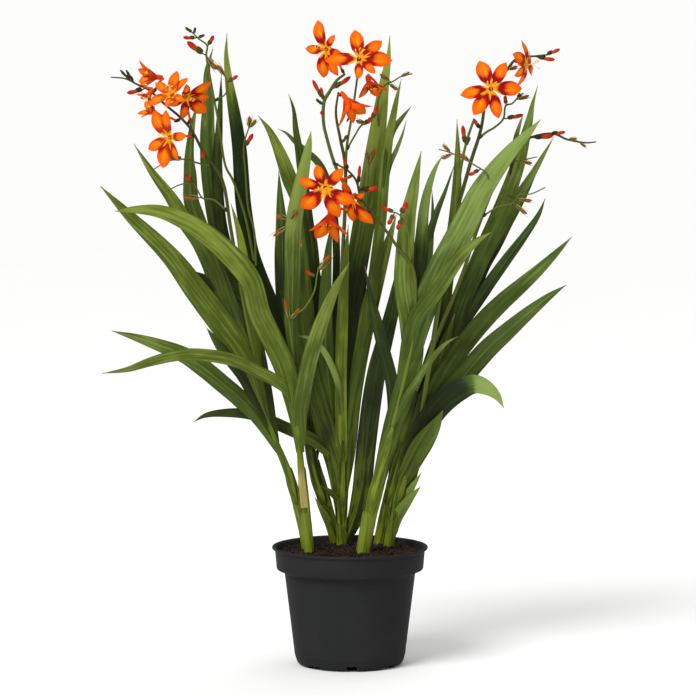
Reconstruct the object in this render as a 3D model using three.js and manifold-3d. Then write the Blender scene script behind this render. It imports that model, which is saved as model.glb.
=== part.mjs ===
// A crocosmia in a round nursery pot: leaf shoots with sword-shaped blades, arching flower stems with
// buds, and star-shaped orange blooms. Millimetres, +Z up, front of the plant towards -Y, origin on the
// floor under the middle of the pot.
import * as THREE from "three";
import { mergeVertices } from "three/addons/utils/BufferGeometryUtils.js";
import Module from "manifold-3d";

const wasm = await Module();
wasm.setup();

// Driving dimensions
const POT_HEIGHT = 145;
const POT_RIM_RADIUS = 95;
const POT_WALL = 1.6;
const POT_SIDES = 24;
const FOOT_RING_OUTER = 57;
const FOOT_RING_INNER = 46;
const BASE_PLATE_LEVEL = 8;
const CENTRE_FOOT_RADIUS = 12;
const NOTCH_COUNT = 8;
const NOTCH_WIDTH = 15;
const NOTCH_DEPTH = 7.5;
const SLOT_WIDTH = 26;
const SLOT_DEPTH = 4;
const DRAIN_HOLE_RADIUS = 5;
const DRAIN_RING_RADIUS = 32;
const SOIL_EDGE_LEVEL = 137;
const SOIL_CROWN = 4;
const SEAT_GAP = 0.3; // clearance between touching pieces
const BLADE_THICKNESS = 0.9;
const BLADE_TIP_WIDTH = 1.6;
const BLADE_STEP = 66; // length of one stretch of a leaf
const STEM_STEP = 45; // length of one stretch of a stem
const RIBBED_WIDTH = 17; // narrower leaves are flat, without a raised midrib
const TEPAL_ROOT = 2.8; // how far from the middle of the mouth a tepal starts
const CORM_RADIUS = 9;
const CORM_LEVEL = 103;

// Points along leaves and stems are written [x, z] as they line up, from the front, against the upright
// plane through the pot's axis, with eyes 5 m away and 0.89 m up. A depth then sets them in front of
// (negative) or behind (positive) that plane without changing how they line up.
const VIEW_DISTANCE = 5000;
const VIEW_HEIGHT = 886.5;
const SIGHT_ZERO = -3; // the level, above the floor, that those z values count from

function placed(x, z, depth) {
  const spread = 1 + depth / VIEW_DISTANCE;
  return new THREE.Vector3(x * spread, depth, SIGHT_ZERO + VIEW_HEIGHT - (VIEW_HEIGHT - z) * spread);
}

// Solids and meshes
function solid(positions, triangles) {
  return new wasm.Manifold(
    new wasm.Mesh({
      numProp: 3,
      vertProperties: new Float32Array(positions),
      triVerts: new Uint32Array(triangles),
    }),
  );
}

function solidOf(geometry) {
  const bare = geometry.index ? geometry.toNonIndexed() : geometry.clone();
  bare.deleteAttribute("normal");
  bare.deleteAttribute("uv");
  const merged = mergeVertices(bare, 1e-3);
  return solid(merged.attributes.position.array, merged.index.array);
}

function joined(pieces) {
  return pieces.reduce((whole, piece) => whole.add(piece));
}

// Booleans can leave crumbs where two thin blades graze each other: the body kept is the largest.
function largestBody(whole) {
  const bodies = whole.decompose();
  return bodies.reduce((best, body) => (body.volume() > best.volume() ? body : best));
}

function meshOf(name, whole, material) {
  const data = whole.getMesh();
  const geometry = new THREE.BufferGeometry();
  geometry.setAttribute("position", new THREE.BufferAttribute(data.vertProperties, 3));
  geometry.setIndex(new THREE.BufferAttribute(data.triVerts, 1));
  geometry.computeVertexNormals();
  const mesh = new THREE.Mesh(geometry, material);
  mesh.name = name;
  return mesh;
}

// A closed tube or blade through a list of rings with the same number of points each.
function loft(rings) {
  const sides = rings[0].length;
  const positions = rings.flat().flatMap((p) => [p.x, p.y, p.z]);
  const triangles = [];
  for (let i = 0; i + 1 < rings.length; i++) {
    for (let j = 0; j < sides; j++) {
      const a = i * sides + j;
      const b = i * sides + ((j + 1) % sides);
      triangles.push(a, b, b + sides, a, b + sides, a + sides);
    }
  }
  const last = (rings.length - 1) * sides;
  for (let j = 1; j + 1 < sides; j++) {
    triangles.push(0, j + 1, j);
    triangles.push(last, last + j, last + j + 1);
  }
  return solid(positions, triangles);
}

// The directions across a growing line: along it, across it and out of its face, with the face turned
// by an angle from looking to the front.
function crossFrame(tangent, turn) {
  const along = tangent.clone().normalize();
  const front = new THREE.Vector3(0, -1, 0);
  const face = front.sub(along.clone().multiplyScalar(front.dot(along))).normalize();
  const across = new THREE.Vector3().crossVectors(face, along);
  const cos = Math.cos(THREE.MathUtils.degToRad(turn));
  const sin = Math.sin(THREE.MathUtils.degToRad(turn));
  return {
    across: across.clone().multiplyScalar(cos).addScaledVector(face, sin),
    face: face.clone().multiplyScalar(cos).addScaledVector(across, -sin),
  };
}

function ellipseRing(centre, frame, halfWidth, halfDepth, sides) {
  const ring = [];
  for (let j = 0; j < sides; j++) {
    const angle = (2 * Math.PI * j) / sides;
    ring.push(
      centre
        .clone()
        .addScaledVector(frame.across, halfWidth * Math.cos(angle))
        .addScaledVector(frame.face, halfDepth * Math.sin(angle)),
    );
  }
  return ring;
}

// A rod through 3-D points; each radius is [half width, half depth], spread evenly along the rod.
function rod(points, radii, sides, steps) {
  const curve = new THREE.CatmullRomCurve3(points);
  const rings = [];
  for (let i = 0; i <= steps; i++) {
    const t = i / steps;
    const place = t * (radii.length - 1);
    const k = Math.min(Math.floor(place), radii.length - 2);
    const blend = place - k;
    const wide = THREE.MathUtils.lerp(radii[k][0], radii[k + 1][0], blend);
    const deep = THREE.MathUtils.lerp(radii[k][1], radii[k + 1][1], blend);
    rings.push(ellipseRing(curve.getPoint(t), crossFrame(curve.getTangent(t), 0), wide, deep, sides));
  }
  return loft(rings);
}

// Leaf width along its length: narrow in the sheath, out to its full width from the share `opens` on, and
// drawn out to a point from the middle on.
function leafWidth({ width, opens = 0.2 }, t) {
  const opening = THREE.MathUtils.smoothstep(t, -0.05, opens);
  const taper = Math.max(0, (t - 0.45) / 0.55);
  const full = width * (0.3 + 0.7 * opening) * (1 - Math.pow(taper, 2));
  return Math.max(full, BLADE_TIP_WIDTH);
}

// One sword-shaped blade, with a raised midrib on both faces where it is wide.
function leaf(one, shoot) {
  const { width, turn = 0 } = one;
  const curve = leafCurve(one, shoot);
  const steps = leafLine(one, shoot).length - 1;
  const rings = [];
  for (let i = 0; i <= steps; i++) {
    const t = i / steps;
    const centre = curve.getPoint(t);
    const frame = crossFrame(curve.getTangent(t), turn);
    const half = leafWidth(one, t) / 2;
    const rib = BLADE_THICKNESS * 0.75;
    const edge = BLADE_THICKNESS * 0.4;
    const section = [[half, -edge], [half, edge], [-half, edge], [-half, -edge]];
    if (width >= RIBBED_WIDTH) {
      section.splice(2, 0, [0, rib]);
      section.push([0, -rib]);
    }
    rings.push(
      section.map(([sideways, out]) =>
        centre.clone().addScaledVector(frame.across, sideways).addScaledVector(frame.face, out),
      ),
    );
  }
  return loft(rings);
}

// A stem's centre line. A side branch grows `from` an earlier stem or leaf of its shoot, and starts on
// that one's centre line.
function stemCurve(one, shoot) {
  const { path, depths, from } = one;
  const root = from ? nearestOn(carrierLine(from, shoot), path[0]).point : null;
  const footDepth = root ? root.y : depths[0];
  const points = path.map(([x, z], i) =>
    placed(x, z, THREE.MathUtils.lerp(footDepth, depths[1], i / (path.length - 1))),
  );
  if (root) points[0] = root;
  return new THREE.CatmullRomCurve3(points);
}

function leafCurve({ path, tipDepth, from }, shoot) {
  const root = from ? nearestOn(carrierLine(from, shoot), path[0]).point : null;
  const points = path.map(([x, z], i) => {
    const share = Math.pow(i / (path.length - 1), 1.3);
    return placed(x, z, THREE.MathUtils.lerp(root ? root.y : shoot.depth, tipDepth, share));
  });
  return new THREE.CatmullRomCurve3(points);
}

// The straight stretches that a leaf or stem is made of.
function leafLine(one, shoot) {
  const curve = leafCurve(one, shoot);
  return curve.getPoints(THREE.MathUtils.clamp(Math.round(curve.getLength() / BLADE_STEP), 4, 9));
}

function stemLine(one, shoot) {
  const curve = stemCurve(one, shoot);
  return curve.getPoints(THREE.MathUtils.clamp(Math.round(curve.getLength() / STEM_STEP), 2, 12));
}

function carrierLine([kind, index], shoot) {
  return kind === "stem" ? stemLine(shoot.stems[index], shoot) : leafLine(shoot.leaves[index], shoot);
}

// The place on such a line that lies nearest, seen from the front, to a point [x, z].
function nearestOn(line, [x, z]) {
  let best = { distance: Infinity };
  for (let i = 0; i + 1 < line.length; i++) {
    for (let j = 0; j <= 10; j++) {
      const point = line[i].clone().lerp(line[i + 1], j / 10);
      const distance = point.distanceTo(placed(x, z, point.y));
      if (distance >= best.distance) continue;
      const along = line[i + 1].clone().sub(line[i]).normalize();
      best = { distance, point, along, t: (i + j / 10) / (line.length - 1) };
    }
  }
  return best;
}

function thicknessAt(thick, t) {
  const place = t * (thick.length - 1);
  const k = Math.min(Math.floor(place), thick.length - 2);
  return THREE.MathUtils.lerp(thick[k], thick[k + 1], place - k);
}

// A bud or seed pod on its short stalk, fattest beyond the middle.
function bud({ foot, tip, fat }, line) {
  const root = nearestOn(line, foot).point;
  const end = placed(tip[0], tip[1], root.y - 3);
  const stalk = end.distanceTo(root) > 2.2 * fat ? 0.3 : 0.1;
  const points = [root, root.clone().lerp(end, stalk), root.clone().lerp(end, 0.65), end];
  return rod(points, [0.8, 0.42 * fat, 0.5 * fat, 0.7].map((r) => [r, r]), 4, 3);
}

function stem(one, shoot) {
  const line = stemLine(one, shoot);
  const radii = one.thick.map((t) => [t / 2, t / 2]);
  const pieces = [rod(stemCurve(one, shoot).points, radii, 4, line.length - 1)];
  for (const each of one.buds ?? []) pieces.push(bud(each, line));
  return joined(pieces);
}

// Pot
function potSolid() {
  const outer = [
    [FOOT_RING_INNER, 0],
    [FOOT_RING_OUTER, 0],
    [62.6, 1.6],
    [65.4, 5.4],
    [67.3, 12],
    [79.4, 110],
    [80.2, 114],
    [89.5, 118],
    [91.4, POT_HEIGHT - 5],
    [93.2, POT_HEIGHT - 4.2],
    [POT_RIM_RADIUS, POT_HEIGHT - 2.4],
    [POT_RIM_RADIUS - 0.2, POT_HEIGHT - 0.6],
    [POT_RIM_RADIUS - 1.4, POT_HEIGHT],
  ];
  const inner = [
    [91.4 - POT_WALL, POT_HEIGHT - 1.2],
    [89.5 - POT_WALL, 119],
    [80.2 - POT_WALL, 115],
    [67.3 - POT_WALL, 14],
    [65.4 - POT_WALL, BASE_PLATE_LEVEL + POT_WALL],
    [0, BASE_PLATE_LEVEL + POT_WALL],
    [0, 0],
    [CENTRE_FOOT_RADIUS, 0],
    [CENTRE_FOOT_RADIUS + 1, BASE_PLATE_LEVEL],
    [FOOT_RING_INNER, BASE_PLATE_LEVEL],
    [FOOT_RING_INNER, 0],
  ];
  const profile = [...outer, ...inner].map(([r, z]) => new THREE.Vector2(r, z));
  const lathe = new THREE.LatheGeometry(profile, POT_SIDES).rotateX(Math.PI / 2);
  let pot = solidOf(lathe);
  if (pot.volume() < 0) throw new Error("the pot's profile runs the wrong way round");
  for (let i = 0; i < NOTCH_COUNT; i++) {
    const around = ((i + 0.04) / NOTCH_COUNT) * 2 * Math.PI - Math.PI / 2;
    const deep = i % 2 === 0;
    const width = deep ? NOTCH_WIDTH : SLOT_WIDTH;
    const depth = deep ? NOTCH_DEPTH : SLOT_DEPTH;
    const notch = new THREE.CylinderGeometry(width * 0.5, width * 0.82, 2 * depth, 4, 1);
    notch.rotateY(Math.PI / 4).rotateX(Math.PI / 2).scale(1.6, 1, 1);
    notch.translate(57, 0, 0).rotateZ(around);
    pot = pot.subtract(solidOf(notch));
    if (deep) continue;
    const hole = new THREE.CylinderGeometry(DRAIN_HOLE_RADIUS, DRAIN_HOLE_RADIUS, 30, 8, 1);
    hole.rotateX(Math.PI / 2).translate(DRAIN_RING_RADIUS, 0, BASE_PLATE_LEVEL).rotateZ(around);
    pot = pot.subtract(solidOf(hole));
  }
  return largestBody(pot);
}

// Soil: a plug that fills the pot to just under the rim, domed a little, lumpy on top.
function soilSolid(holes) {
  const rings = 5;
  const top = SOIL_EDGE_LEVEL;
  const wallAt = (z) => THREE.MathUtils.mapLinear(z, 14, 115, 67.3, 80.2) - POT_WALL - SEAT_GAP;
  const profile = [
    new THREE.Vector2(0, BASE_PLATE_LEVEL + POT_WALL + SEAT_GAP),
    new THREE.Vector2(wallAt(14) - 3, BASE_PLATE_LEVEL + POT_WALL + SEAT_GAP),
    new THREE.Vector2(wallAt(14) - 0.4, 15),
    new THREE.Vector2(wallAt(115) - 0.6, 115.8),
    new THREE.Vector2(89.5 - POT_WALL - 1.2, 120.5),
  ];
  for (let i = 0; i < rings; i++) {
    const r = THREE.MathUtils.lerp(88, 0, i / (rings - 1));
    profile.push(new THREE.Vector2(r, top + SOIL_CROWN * (1 - (r / 88) ** 2)));
  }
  const lathe = new THREE.LatheGeometry(profile, 16).rotateX(Math.PI / 2);
  const place = lathe.attributes.position;
  for (let i = 0; i < place.count; i++) {
    const x = place.getX(i);
    const y = place.getY(i);
    const z = place.getZ(i);
    const lump = 1.5 * Math.sin(0.19 * x + 1) * Math.cos(0.23 * y) * (1 - (x * x + y * y) / 90 ** 2);
    if (z > top - 0.5) place.setZ(i, z + lump);
  }
  return largestBody(holes.reduce((soil, hole) => soil.subtract(hole), solidOf(lathe)));
}

// Shoots: each has a flattened foot of wrapped sheaths that stands in the soil on a corm, leaves that
// part from it, and its flower stems with their buds.
const SHOOTS = {
  left_front: {
    depth: -15,
    foot: [[-50, 110], [-50, 140], [-54, 190], [-59, 240], [-64, 300], [-67, 345]],
    footWidth: [10, 11, 10, 7, 3],
    leaves: [
      { path: [[-64, 318], [-80, 343], [-110, 361], [-140, 375], [-170, 381], [-205, 382], [-240, 374],
        [-270, 364], [-301, 359]], width: 16, tipDepth: -100, turn: 20 },
      { path: [[-61, 262], [-68, 314], [-80, 366], [-96, 402], [-110, 432], [-122, 473], [-145, 502],
        [-170, 525], [-200, 544], [-231, 556], [-262, 558], [-284, 556]], width: 28, tipDepth: -70,
        turn: -12 },
      { path: [[-62, 330], [-70, 420], [-69, 480], [-69, 515], [-67, 545], [-62, 575], [-56, 605],
        [-50, 635], [-47, 653]], width: 21, tipDepth: -28, turn: 15 },
      { path: [[-57, 270], [-60, 310], [-56, 340], [-50, 370], [-40, 405], [-27, 440], [-14, 470],
        [-1, 494]], width: 20, tipDepth: -75, turn: 15 },
    ],
    stems: [
      { path: [[-66, 340], [-72, 412], [-74, 430], [-74, 490], [-72, 530], [-74, 548]], thick: [3, 2, 1.6],
        depths: [-15, -20], buds: [
          { foot: [-74, 547], tip: [-89, 551], fat: 5 }, { foot: [-73, 545], tip: [-64, 557], fat: 5 },
          { foot: [-73, 420], tip: [-79, 452], fat: 5 }, { foot: [-73, 424], tip: [-61, 438], fat: 5 },
          { foot: [-74, 540], tip: [-93, 526], fat: 4.5 }] },
      { from: ["stem", 0], path: [[-74, 428], [-56, 438], [-43, 460], [-40, 478], [-38, 488]],
        thick: [2.2, 1.6], depths: [-16, -34], buds: [{ foot: [-40, 482], tip: [-24, 503], fat: 7 },
          { foot: [-40, 476], tip: [-54, 484], fat: 4.5 }] },
    ],
  },
  left: {
    depth: 6,
    foot: [[-53, 110], [-53, 140], [-64, 200], [-76, 240], [-88, 270], [-101, 306]],
    footWidth: [9, 10, 11, 9, 3],
    leaves: [
      { path: [[-92, 280], [-112, 335], [-128, 381], [-153, 416], [-186, 460], [-216, 500], [-266, 550],
        [-302, 587]], width: 30, tipDepth: 2, turn: 6 },
      { path: [[-97, 296], [-116, 350], [-134, 400], [-152, 440], [-168, 490], [-182, 520], [-200, 545],
        [-216, 572], [-240, 605], [-261, 638]], width: 23, tipDepth: 30, turn: -8 },
      { path: [[-86, 264], [-115, 310], [-135, 330], [-155, 347], [-178, 366], [-200, 381], [-230, 393],
        [-260, 403], [-289, 411]], width: 22, tipDepth: -30, turn: 12 },
      { path: [[-90, 274], [-106, 340], [-118, 398], [-136, 438], [-161, 463], [-190, 478], [-214, 486]],
        width: 23, tipDepth: 20, turn: 0 },
      { path: [[-96, 292], [-130, 355], [-145, 375], [-160, 395], [-174, 415]], width: 14, tipDepth: -14,
        turn: 10 },
      { path: [[-96, 292], [-122, 370], [-145, 440], [-160, 480], [-175, 520], [-186, 550], [-192, 570],
        [-193, 600], [-194, 620], [-190, 660], [-183, 690]], width: 20, tipDepth: 46, turn: 0 },
      { path: [[-96, 292], [-112, 380], [-121, 440], [-127, 490], [-134, 530], [-144, 566]], width: 13,
        tipDepth: 14, turn: 10 },
    ],
    stems: [
      { path: [[-98, 298], [-120, 400], [-135, 480], [-145, 540], [-155, 596], [-175, 624], [-191, 654],
        [-204, 669], [-223, 685], [-243, 703], [-258, 710], [-270, 716], [-288, 718]],
        thick: [5, 4.4, 3.4, 2.8, 1.6], depths: [10, -6], buds: [
          { foot: [-246, 704], tip: [-269, 699], fat: 6 },
            { foot: [-262, 712], tip: [-277, 727], fat: 3.5 },
          { foot: [-259, 711], tip: [-270, 727], fat: 3.5 }] },
      { from: ["stem", 0], path: [[-165, 610], [-182, 614], [-200, 619], [-219, 617], [-240, 605]],
        thick: [2.6, 2, 1.4],
        depths: [0, -12], buds: [
          { foot: [-200, 619], tip: [-220, 623], fat: 6 },
            { foot: [-180, 614], tip: [-176, 629], fat: 4.5 }] },
      { from: ["stem", 0], path: [[-149, 556], [-165, 570], [-178, 572], [-190, 590], [-206, 588],
        [-222, 580]],
        thick: [2.6, 2, 1.4], depths: [4, -10], buds: [
          { foot: [-188, 588], tip: [-199, 601], fat: 5.5 },
            { foot: [-180, 572], tip: [-201, 573], fat: 5.5 }] },
    ],
  },
  left_back: {
    depth: 56,
    foot: [[-16, 110], [-15, 140], [-30, 200], [-45, 250], [-52, 290], [-62, 335]],
    footWidth: [10, 13, 16, 13, 4],
    leaves: [
      { path: [[-58, 320], [-70, 380], [-85, 420], [-110, 480], [-120, 510], [-125, 540], [-129, 570],
        [-131, 600], [-133, 630], [-137, 660], [-142, 690], [-146, 715], [-149, 745], [-148, 771]],
        width: 20, tipDepth: 66, turn: 16 },
      { path: [[-58, 320], [-90, 410], [-115, 450], [-138, 490], [-150, 515], [-157, 550], [-160, 615],
        [-158, 650], [-156, 690], [-155, 722]], width: 15, tipDepth: 84, turn: 10 },
      { path: [[-58, 320], [-92, 400], [-124, 448], [-148, 490], [-158, 530], [-165, 570], [-170, 610],
        [-172, 650], [-171, 690], [-172, 725], [-165, 753]], width: 23, tipDepth: 104, turn: 0 },
      { path: [[-49, 270], [-46, 340], [-44, 400], [-45, 460], [-50, 520], [-62, 570], [-73, 595],
        [-80, 615], [-88, 635], [-98, 655], [-111, 672]], width: 21, tipDepth: 90, turn: -10 },
      { path: [[-55, 305], [-72, 390], [-80, 450], [-82, 500], [-82, 530], [-84, 565], [-86, 605]],
        width: 19, tipDepth: 76, turn: 8 },
      { path: [[-46, 256], [-38, 340], [-36, 420], [-44, 500], [-52, 560], [-58, 610], [-61, 630],
        [-65, 655], [-68, 680], [-74, 698]], width: 14, tipDepth: 66, turn: 30 },
      { path: [[-42, 244], [-28, 330], [-20, 420], [-16, 500], [-20, 560], [-30, 600], [-39, 616],
        [-54, 630], [-66, 640], [-76, 650], [-87, 656]], width: 10, tipDepth: 112, turn: 20 },
      { path: [[-15, 150], [-22, 168], [-31, 186], [-43, 208]], width: 10, tipDepth: 42, turn: 0 },
    ],
    stems: [
      { from: ["leaf", 0], path: [[-116, 496], [-128, 555], [-142, 595], [-150, 610], [-158, 660],
        [-168, 715], [-173, 745],
        [-172, 756], [-182, 764], [-190, 772]], thick: [3.6, 3, 2.6, 1.6], depths: [58, 44], buds: [
          { foot: [-174, 744], tip: [-196, 761], fat: 8 },
            { foot: [-172, 755], tip: [-164, 768], fat: 5.5 },
          { foot: [-184, 765], tip: [-201, 766], fat: 5 }, { foot: [-184, 765], tip: [-175, 769], fat: 4 },
          { foot: [-189, 771], tip: [-198, 778], fat: 4 },
            { foot: [-188, 770], tip: [-186, 778], fat: 3.5 },
          { foot: [-173, 744], tip: [-160, 727], fat: 6 }] },
      { from: ["stem", 0], path: [[-161, 690], [-150, 698], [-148, 712], [-152, 722]],
        thick: [2, 1.6], depths: [46, 44],
        buds: [{ foot: [-148, 712], tip: [-135, 720], fat: 5 },
          { foot: [-151, 719], tip: [-160, 733], fat: 5 }] },
      { from: ["leaf", 0], path: [[-114, 490], [-116, 533], [-123, 560], [-126, 600], [-128, 636],
        [-121, 660]],
        thick: [3, 2.4, 1.8], depths: [54, 40], buds: [
          { foot: [-126, 632], tip: [-117, 650], fat: 6 }, { foot: [-122, 656], tip: [-121, 671], fat: 5 },
          { foot: [-122, 656], tip: [-113, 667], fat: 4.5 }] },
    ],
  },
  centre: {
    depth: 32,
    foot: [[-10, 110], [-10, 140], [-10, 200], [-10, 250], [-9, 300]],
    footWidth: [10, 11, 13, 10, 3],
    leaves: [
      { path: [[-9, 260], [-10, 300], [-7, 380], [-3, 420], [3, 460], [10, 500], [15, 530], [20, 560],
        [25, 590], [29, 620], [33, 650], [37, 680], [41, 710], [46, 740], [48, 768]], width: 27,
        tipDepth: 62,
        turn: 0 },
      { path: [[-7, 230], [-2, 300], [2, 360], [8, 412], [12, 490], [22, 555], [32, 600]], width: 22,
        tipDepth: 84, turn: 8 },
      { path: [[-6, 150], [3, 172], [11, 196], [15, 220], [18, 254], [22, 290], [27, 330], [33, 365],
        [42, 400], [52, 440], [58, 470], [65, 500], [73, 540]], width: 24, tipDepth: 18, turn: -8 },
      { path: [[-12, 160], [-13, 200], [-18, 245], [-30, 290], [-46, 350], [-56, 410], [-60, 470],
        [-58, 522]], width: 25, opens: 0.4, tipDepth: 26, turn: -6 },
      { path: [[-9, 150], [-9, 190], [-11, 240], [-20, 300], [-28, 370], [-30, 440], [-27, 500],
        [-21, 548]], width: 22, opens: 0.4, tipDepth: 36, turn: 8 },
      { path: [[-10, 232], [-22, 258], [-45, 278], [-70, 289], [-95, 300], [-120, 309], [-150, 311],
        [-175, 308], [-190, 300]], width: 15, tipDepth: 24, turn: 8 },
      { path: [[-7, 250], [5, 330], [18, 400], [28, 470], [38, 550], [40, 580], [43, 615], [47, 645],
        [52, 670], [57, 695], [62, 716]], width: 14, tipDepth: 36, turn: 10 },
      { path: [[16, 390], [28, 440], [33, 480], [37, 520], [40, 570], [47, 610], [56, 630], [63, 648],
        [68, 666]], width: 8, tipDepth: 44, turn: 10 },
      { path: [[40, 585], [48, 640], [53, 655], [62, 668], [74, 683]], width: 8, tipDepth: 60, turn: 20 },
      { path: [[-9, 200], [-4, 260], [3, 330], [13, 390], [24, 440], [35, 480], [47, 521], [56, 552]],
        width: 22, tipDepth: 44, turn: -4 },
      { path: [[-10, 190], [-10, 260], [-11, 330], [-10, 400], [-8, 450], [-5, 500], [-2, 540]], width: 15,
        tipDepth: 16, turn: 4 },
      { path: [[-11, 196], [-16, 206], [-24, 214], [-36, 222]], width: 8, tipDepth: 20, turn: 0 },
      { path: [[-9, 262], [-11, 320], [-16, 352], [-33, 388], [-50, 402], [-63, 405]], width: 8,
        tipDepth: -2, turn: 12 },
    ],
    stems: [
      { path: [[-9, 290], [-10, 400], [-9, 500], [-6, 560], [-6, 614], [-12, 645], [-17, 675], [-14, 700]],
        thick: [6, 5, 4, 2.4], depths: [34, 4] },
      { from: ["stem", 0], path: [[-8, 585], [-18, 612], [-28, 645], [-32, 664], [-31, 689], [-25, 700],
        [-16, 714], [-6, 722]],
        thick: [4.5, 4, 4.5, 3], depths: [14, 0], buds: [
          { foot: [-30, 689], tip: [-45, 715], fat: 5.5 }, { foot: [-30, 687], tip: [-35, 706], fat: 4.5 },
          { foot: [-30, 684], tip: [-41, 692], fat: 4 }, { foot: [-22, 676], tip: [-35, 675], fat: 5 },
          { foot: [-24, 703], tip: [1, 719], fat: 6 }] },
      { from: ["stem", 0], path: [[-6, 600], [-4, 633], [1, 664], [5, 690], [9, 719]],
        thick: [3.5, 3, 2.6], depths: [10, 2],
        buds: [{ foot: [-2, 650], tip: [-10, 639], fat: 4 }, { foot: [3, 680], tip: [-4, 664], fat: 3 }] },
      { from: ["stem", 2], path: [[-4, 630], [6, 648], [14, 660], [24, 664], [32, 683]],
        thick: [2.4, 2], depths: [8, 8],
        buds: [{ foot: [20, 663], tip: [7, 666], fat: 4.5 }, { foot: [26, 666], tip: [33, 683], fat: 6 },
          { foot: [16, 660], tip: [27, 670], fat: 5 }] },
      { from: ["leaf", 0], path: [[30, 660], [34, 690], [42, 708], [52, 713], [62, 719], [75, 722]],
        thick: [2.4, 2, 1.4],
        depths: [48, 28], buds: [{ foot: [50, 712], tip: [36, 722], fat: 4 },
          { foot: [46, 711], tip: [58, 703], fat: 4 }, { foot: [60, 718], tip: [72, 724], fat: 3.5 }] },
      { from: ["leaf", 0], path: [[18, 556], [22, 600], [26, 628]], thick: [2.4, 2], depths: [46, 30],
        buds: [{ foot: [24, 612], tip: [30, 632], fat: 5 }, { foot: [24, 610], tip: [20, 628], fat: 4 }] },
    ],
  },
  right_front: {
    depth: -25,
    foot: [[15, 110], [16, 140], [25, 190], [35, 230], [45, 270], [54, 305]],
    footWidth: [15, 16, 17, 13, 4],
    leaves: [
      { path: [[53, 298], [66, 350], [75, 380], [85, 420], [98, 460], [112, 490], [128, 520], [143, 550],
        [158, 580], [175, 605], [195, 630], [216, 652], [230, 667]], width: 32, opens: 0.4, tipDepth: -64,
        turn: -6 },
      { path: [[51, 290], [64, 340], [72, 380], [75, 420], [80, 460], [84, 500], [87, 530], [90, 560],
        [95, 585], [103, 608], [112, 624]], width: 16, tipDepth: -16, turn: 10 },
      { path: [[20, 165], [30, 205], [41, 250], [53, 296], [68, 345], [76, 385], [73, 425], [66, 465],
        [66, 500], [70, 550], [76, 580], [81, 605], [86, 629]], width: 27, opens: 0.35, tipDepth: -36,
        turn: 0 },
      { path: [[47, 275], [60, 312], [68, 330], [80, 348], [92, 367], [105, 384], [118, 397], [131, 404]],
        width: 9, tipDepth: -70, turn: 15 },
      { path: [[50, 286], [53, 310], [50, 350], [40, 390], [30, 430], [25, 450], [18, 490]], width: 16,
        tipDepth: -12, turn: -20 },
      { path: [[53, 300], [66, 360], [79, 424], [94, 446], [109, 466], [125, 490], [139, 507], [155, 521],
        [171, 531]], width: 20, tipDepth: -86, turn: 8 },
    ],
    stems: [
      { path: [[52, 296], [66, 350], [76, 400], [80, 450], [75, 490], [60, 509], [47, 528], [34, 545],
        [23, 560], [13, 572], [8, 592], [0, 603], [-10, 610], [-21, 614]], thick: [5, 4.4, 3.6, 3, 2],
        depths: [-27, -44], buds: [
          { foot: [-2, 605], tip: [-7, 620], fat: 4.5 }, { foot: [11, 580], tip: [17, 586], fat: 3 },
          { foot: [14, 583], tip: [35, 584], fat: 6.5 }, { foot: [12, 586], tip: [12, 612], fat: 4.5 },
          { foot: [-12, 610], tip: [-21, 616], fat: 3 }] },
      { from: ["stem", 0], path: [[74, 492], [72, 515], [68, 540], [58, 553], [48, 556]],
        thick: [2.4, 2, 1.6],
        depths: [-40, -52], buds: [{ foot: [56, 554], tip: [37, 562], fat: 5 },
          { foot: [60, 551], tip: [69, 567], fat: 7 }, { foot: [54, 554], tip: [46, 540], fat: 6 },
          { foot: [63, 548], tip: [57, 534], fat: 6 }] },
      { from: ["leaf", 0], path: [[169, 594], [164, 603], [152, 611], [135, 621], [118, 628], [107, 631]],
        thick: [2, 1.8, 1.4], depths: [-46, -56], buds: [{ foot: [158, 607], tip: [143, 600], fat: 5 },
          { foot: [146, 615], tip: [133, 626], fat: 4.5 }, { foot: [124, 625], tip: [110, 620], fat: 4 },
          { foot: [122, 626], tip: [112, 637], fat: 3.5 }] },
    ],
  },
  right: {
    depth: 26,
    foot: [[46, 110], [46, 140], [54, 180], [64, 225], [76, 265], [88, 298]],
    footWidth: [10, 11, 13, 10, 3],
    leaves: [
      { path: [[60, 212], [75, 262], [88, 290], [100, 308], [115, 325], [132, 338], [150, 346], [165, 342],
        [178, 332], [187, 317]], width: 28, tipDepth: -10, turn: 0 },
      { path: [[50, 162], [60, 214], [64, 228], [72, 243], [83, 264], [92, 278], [100, 290], [107, 302],
        [113, 314]], width: 27, opens: 0.6, tipDepth: 8, turn: 8 },
      { path: [[80, 276], [100, 308], [118, 332], [135, 352], [150, 370], [168, 390], [190, 410],
        [215, 432], [240, 452], [262, 467]], width: 25, tipDepth: 10, turn: -6 },
      { path: [[82, 282], [95, 314], [110, 350], [125, 375], [143, 400], [163, 424], [186, 447],
        [210, 468], [232, 488], [252, 508], [268, 525]], width: 23, tipDepth: 36, turn: 6 },
      { path: [[54, 180], [68, 232], [83, 285], [98, 335], [112, 385], [127, 432]], width: 26,
        tipDepth: 36, turn: -6 },
      { path: [[47, 150], [56, 180], [69, 201], [86, 221]], width: 14, tipDepth: 12, turn: 0 },
      { path: [[48, 156], [60, 190], [72, 214], [87, 238]], width: 11, tipDepth: 22, turn: 0 },
    ],
    stems: [
      { path: [[84, 288], [98, 380], [110, 460], [126, 545], [138, 588], [148, 623], [154, 641], [159, 660],
        [164, 690], [176, 712], [187, 724], [199, 739], [210, 743], [220, 743], [238, 745]],
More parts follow.
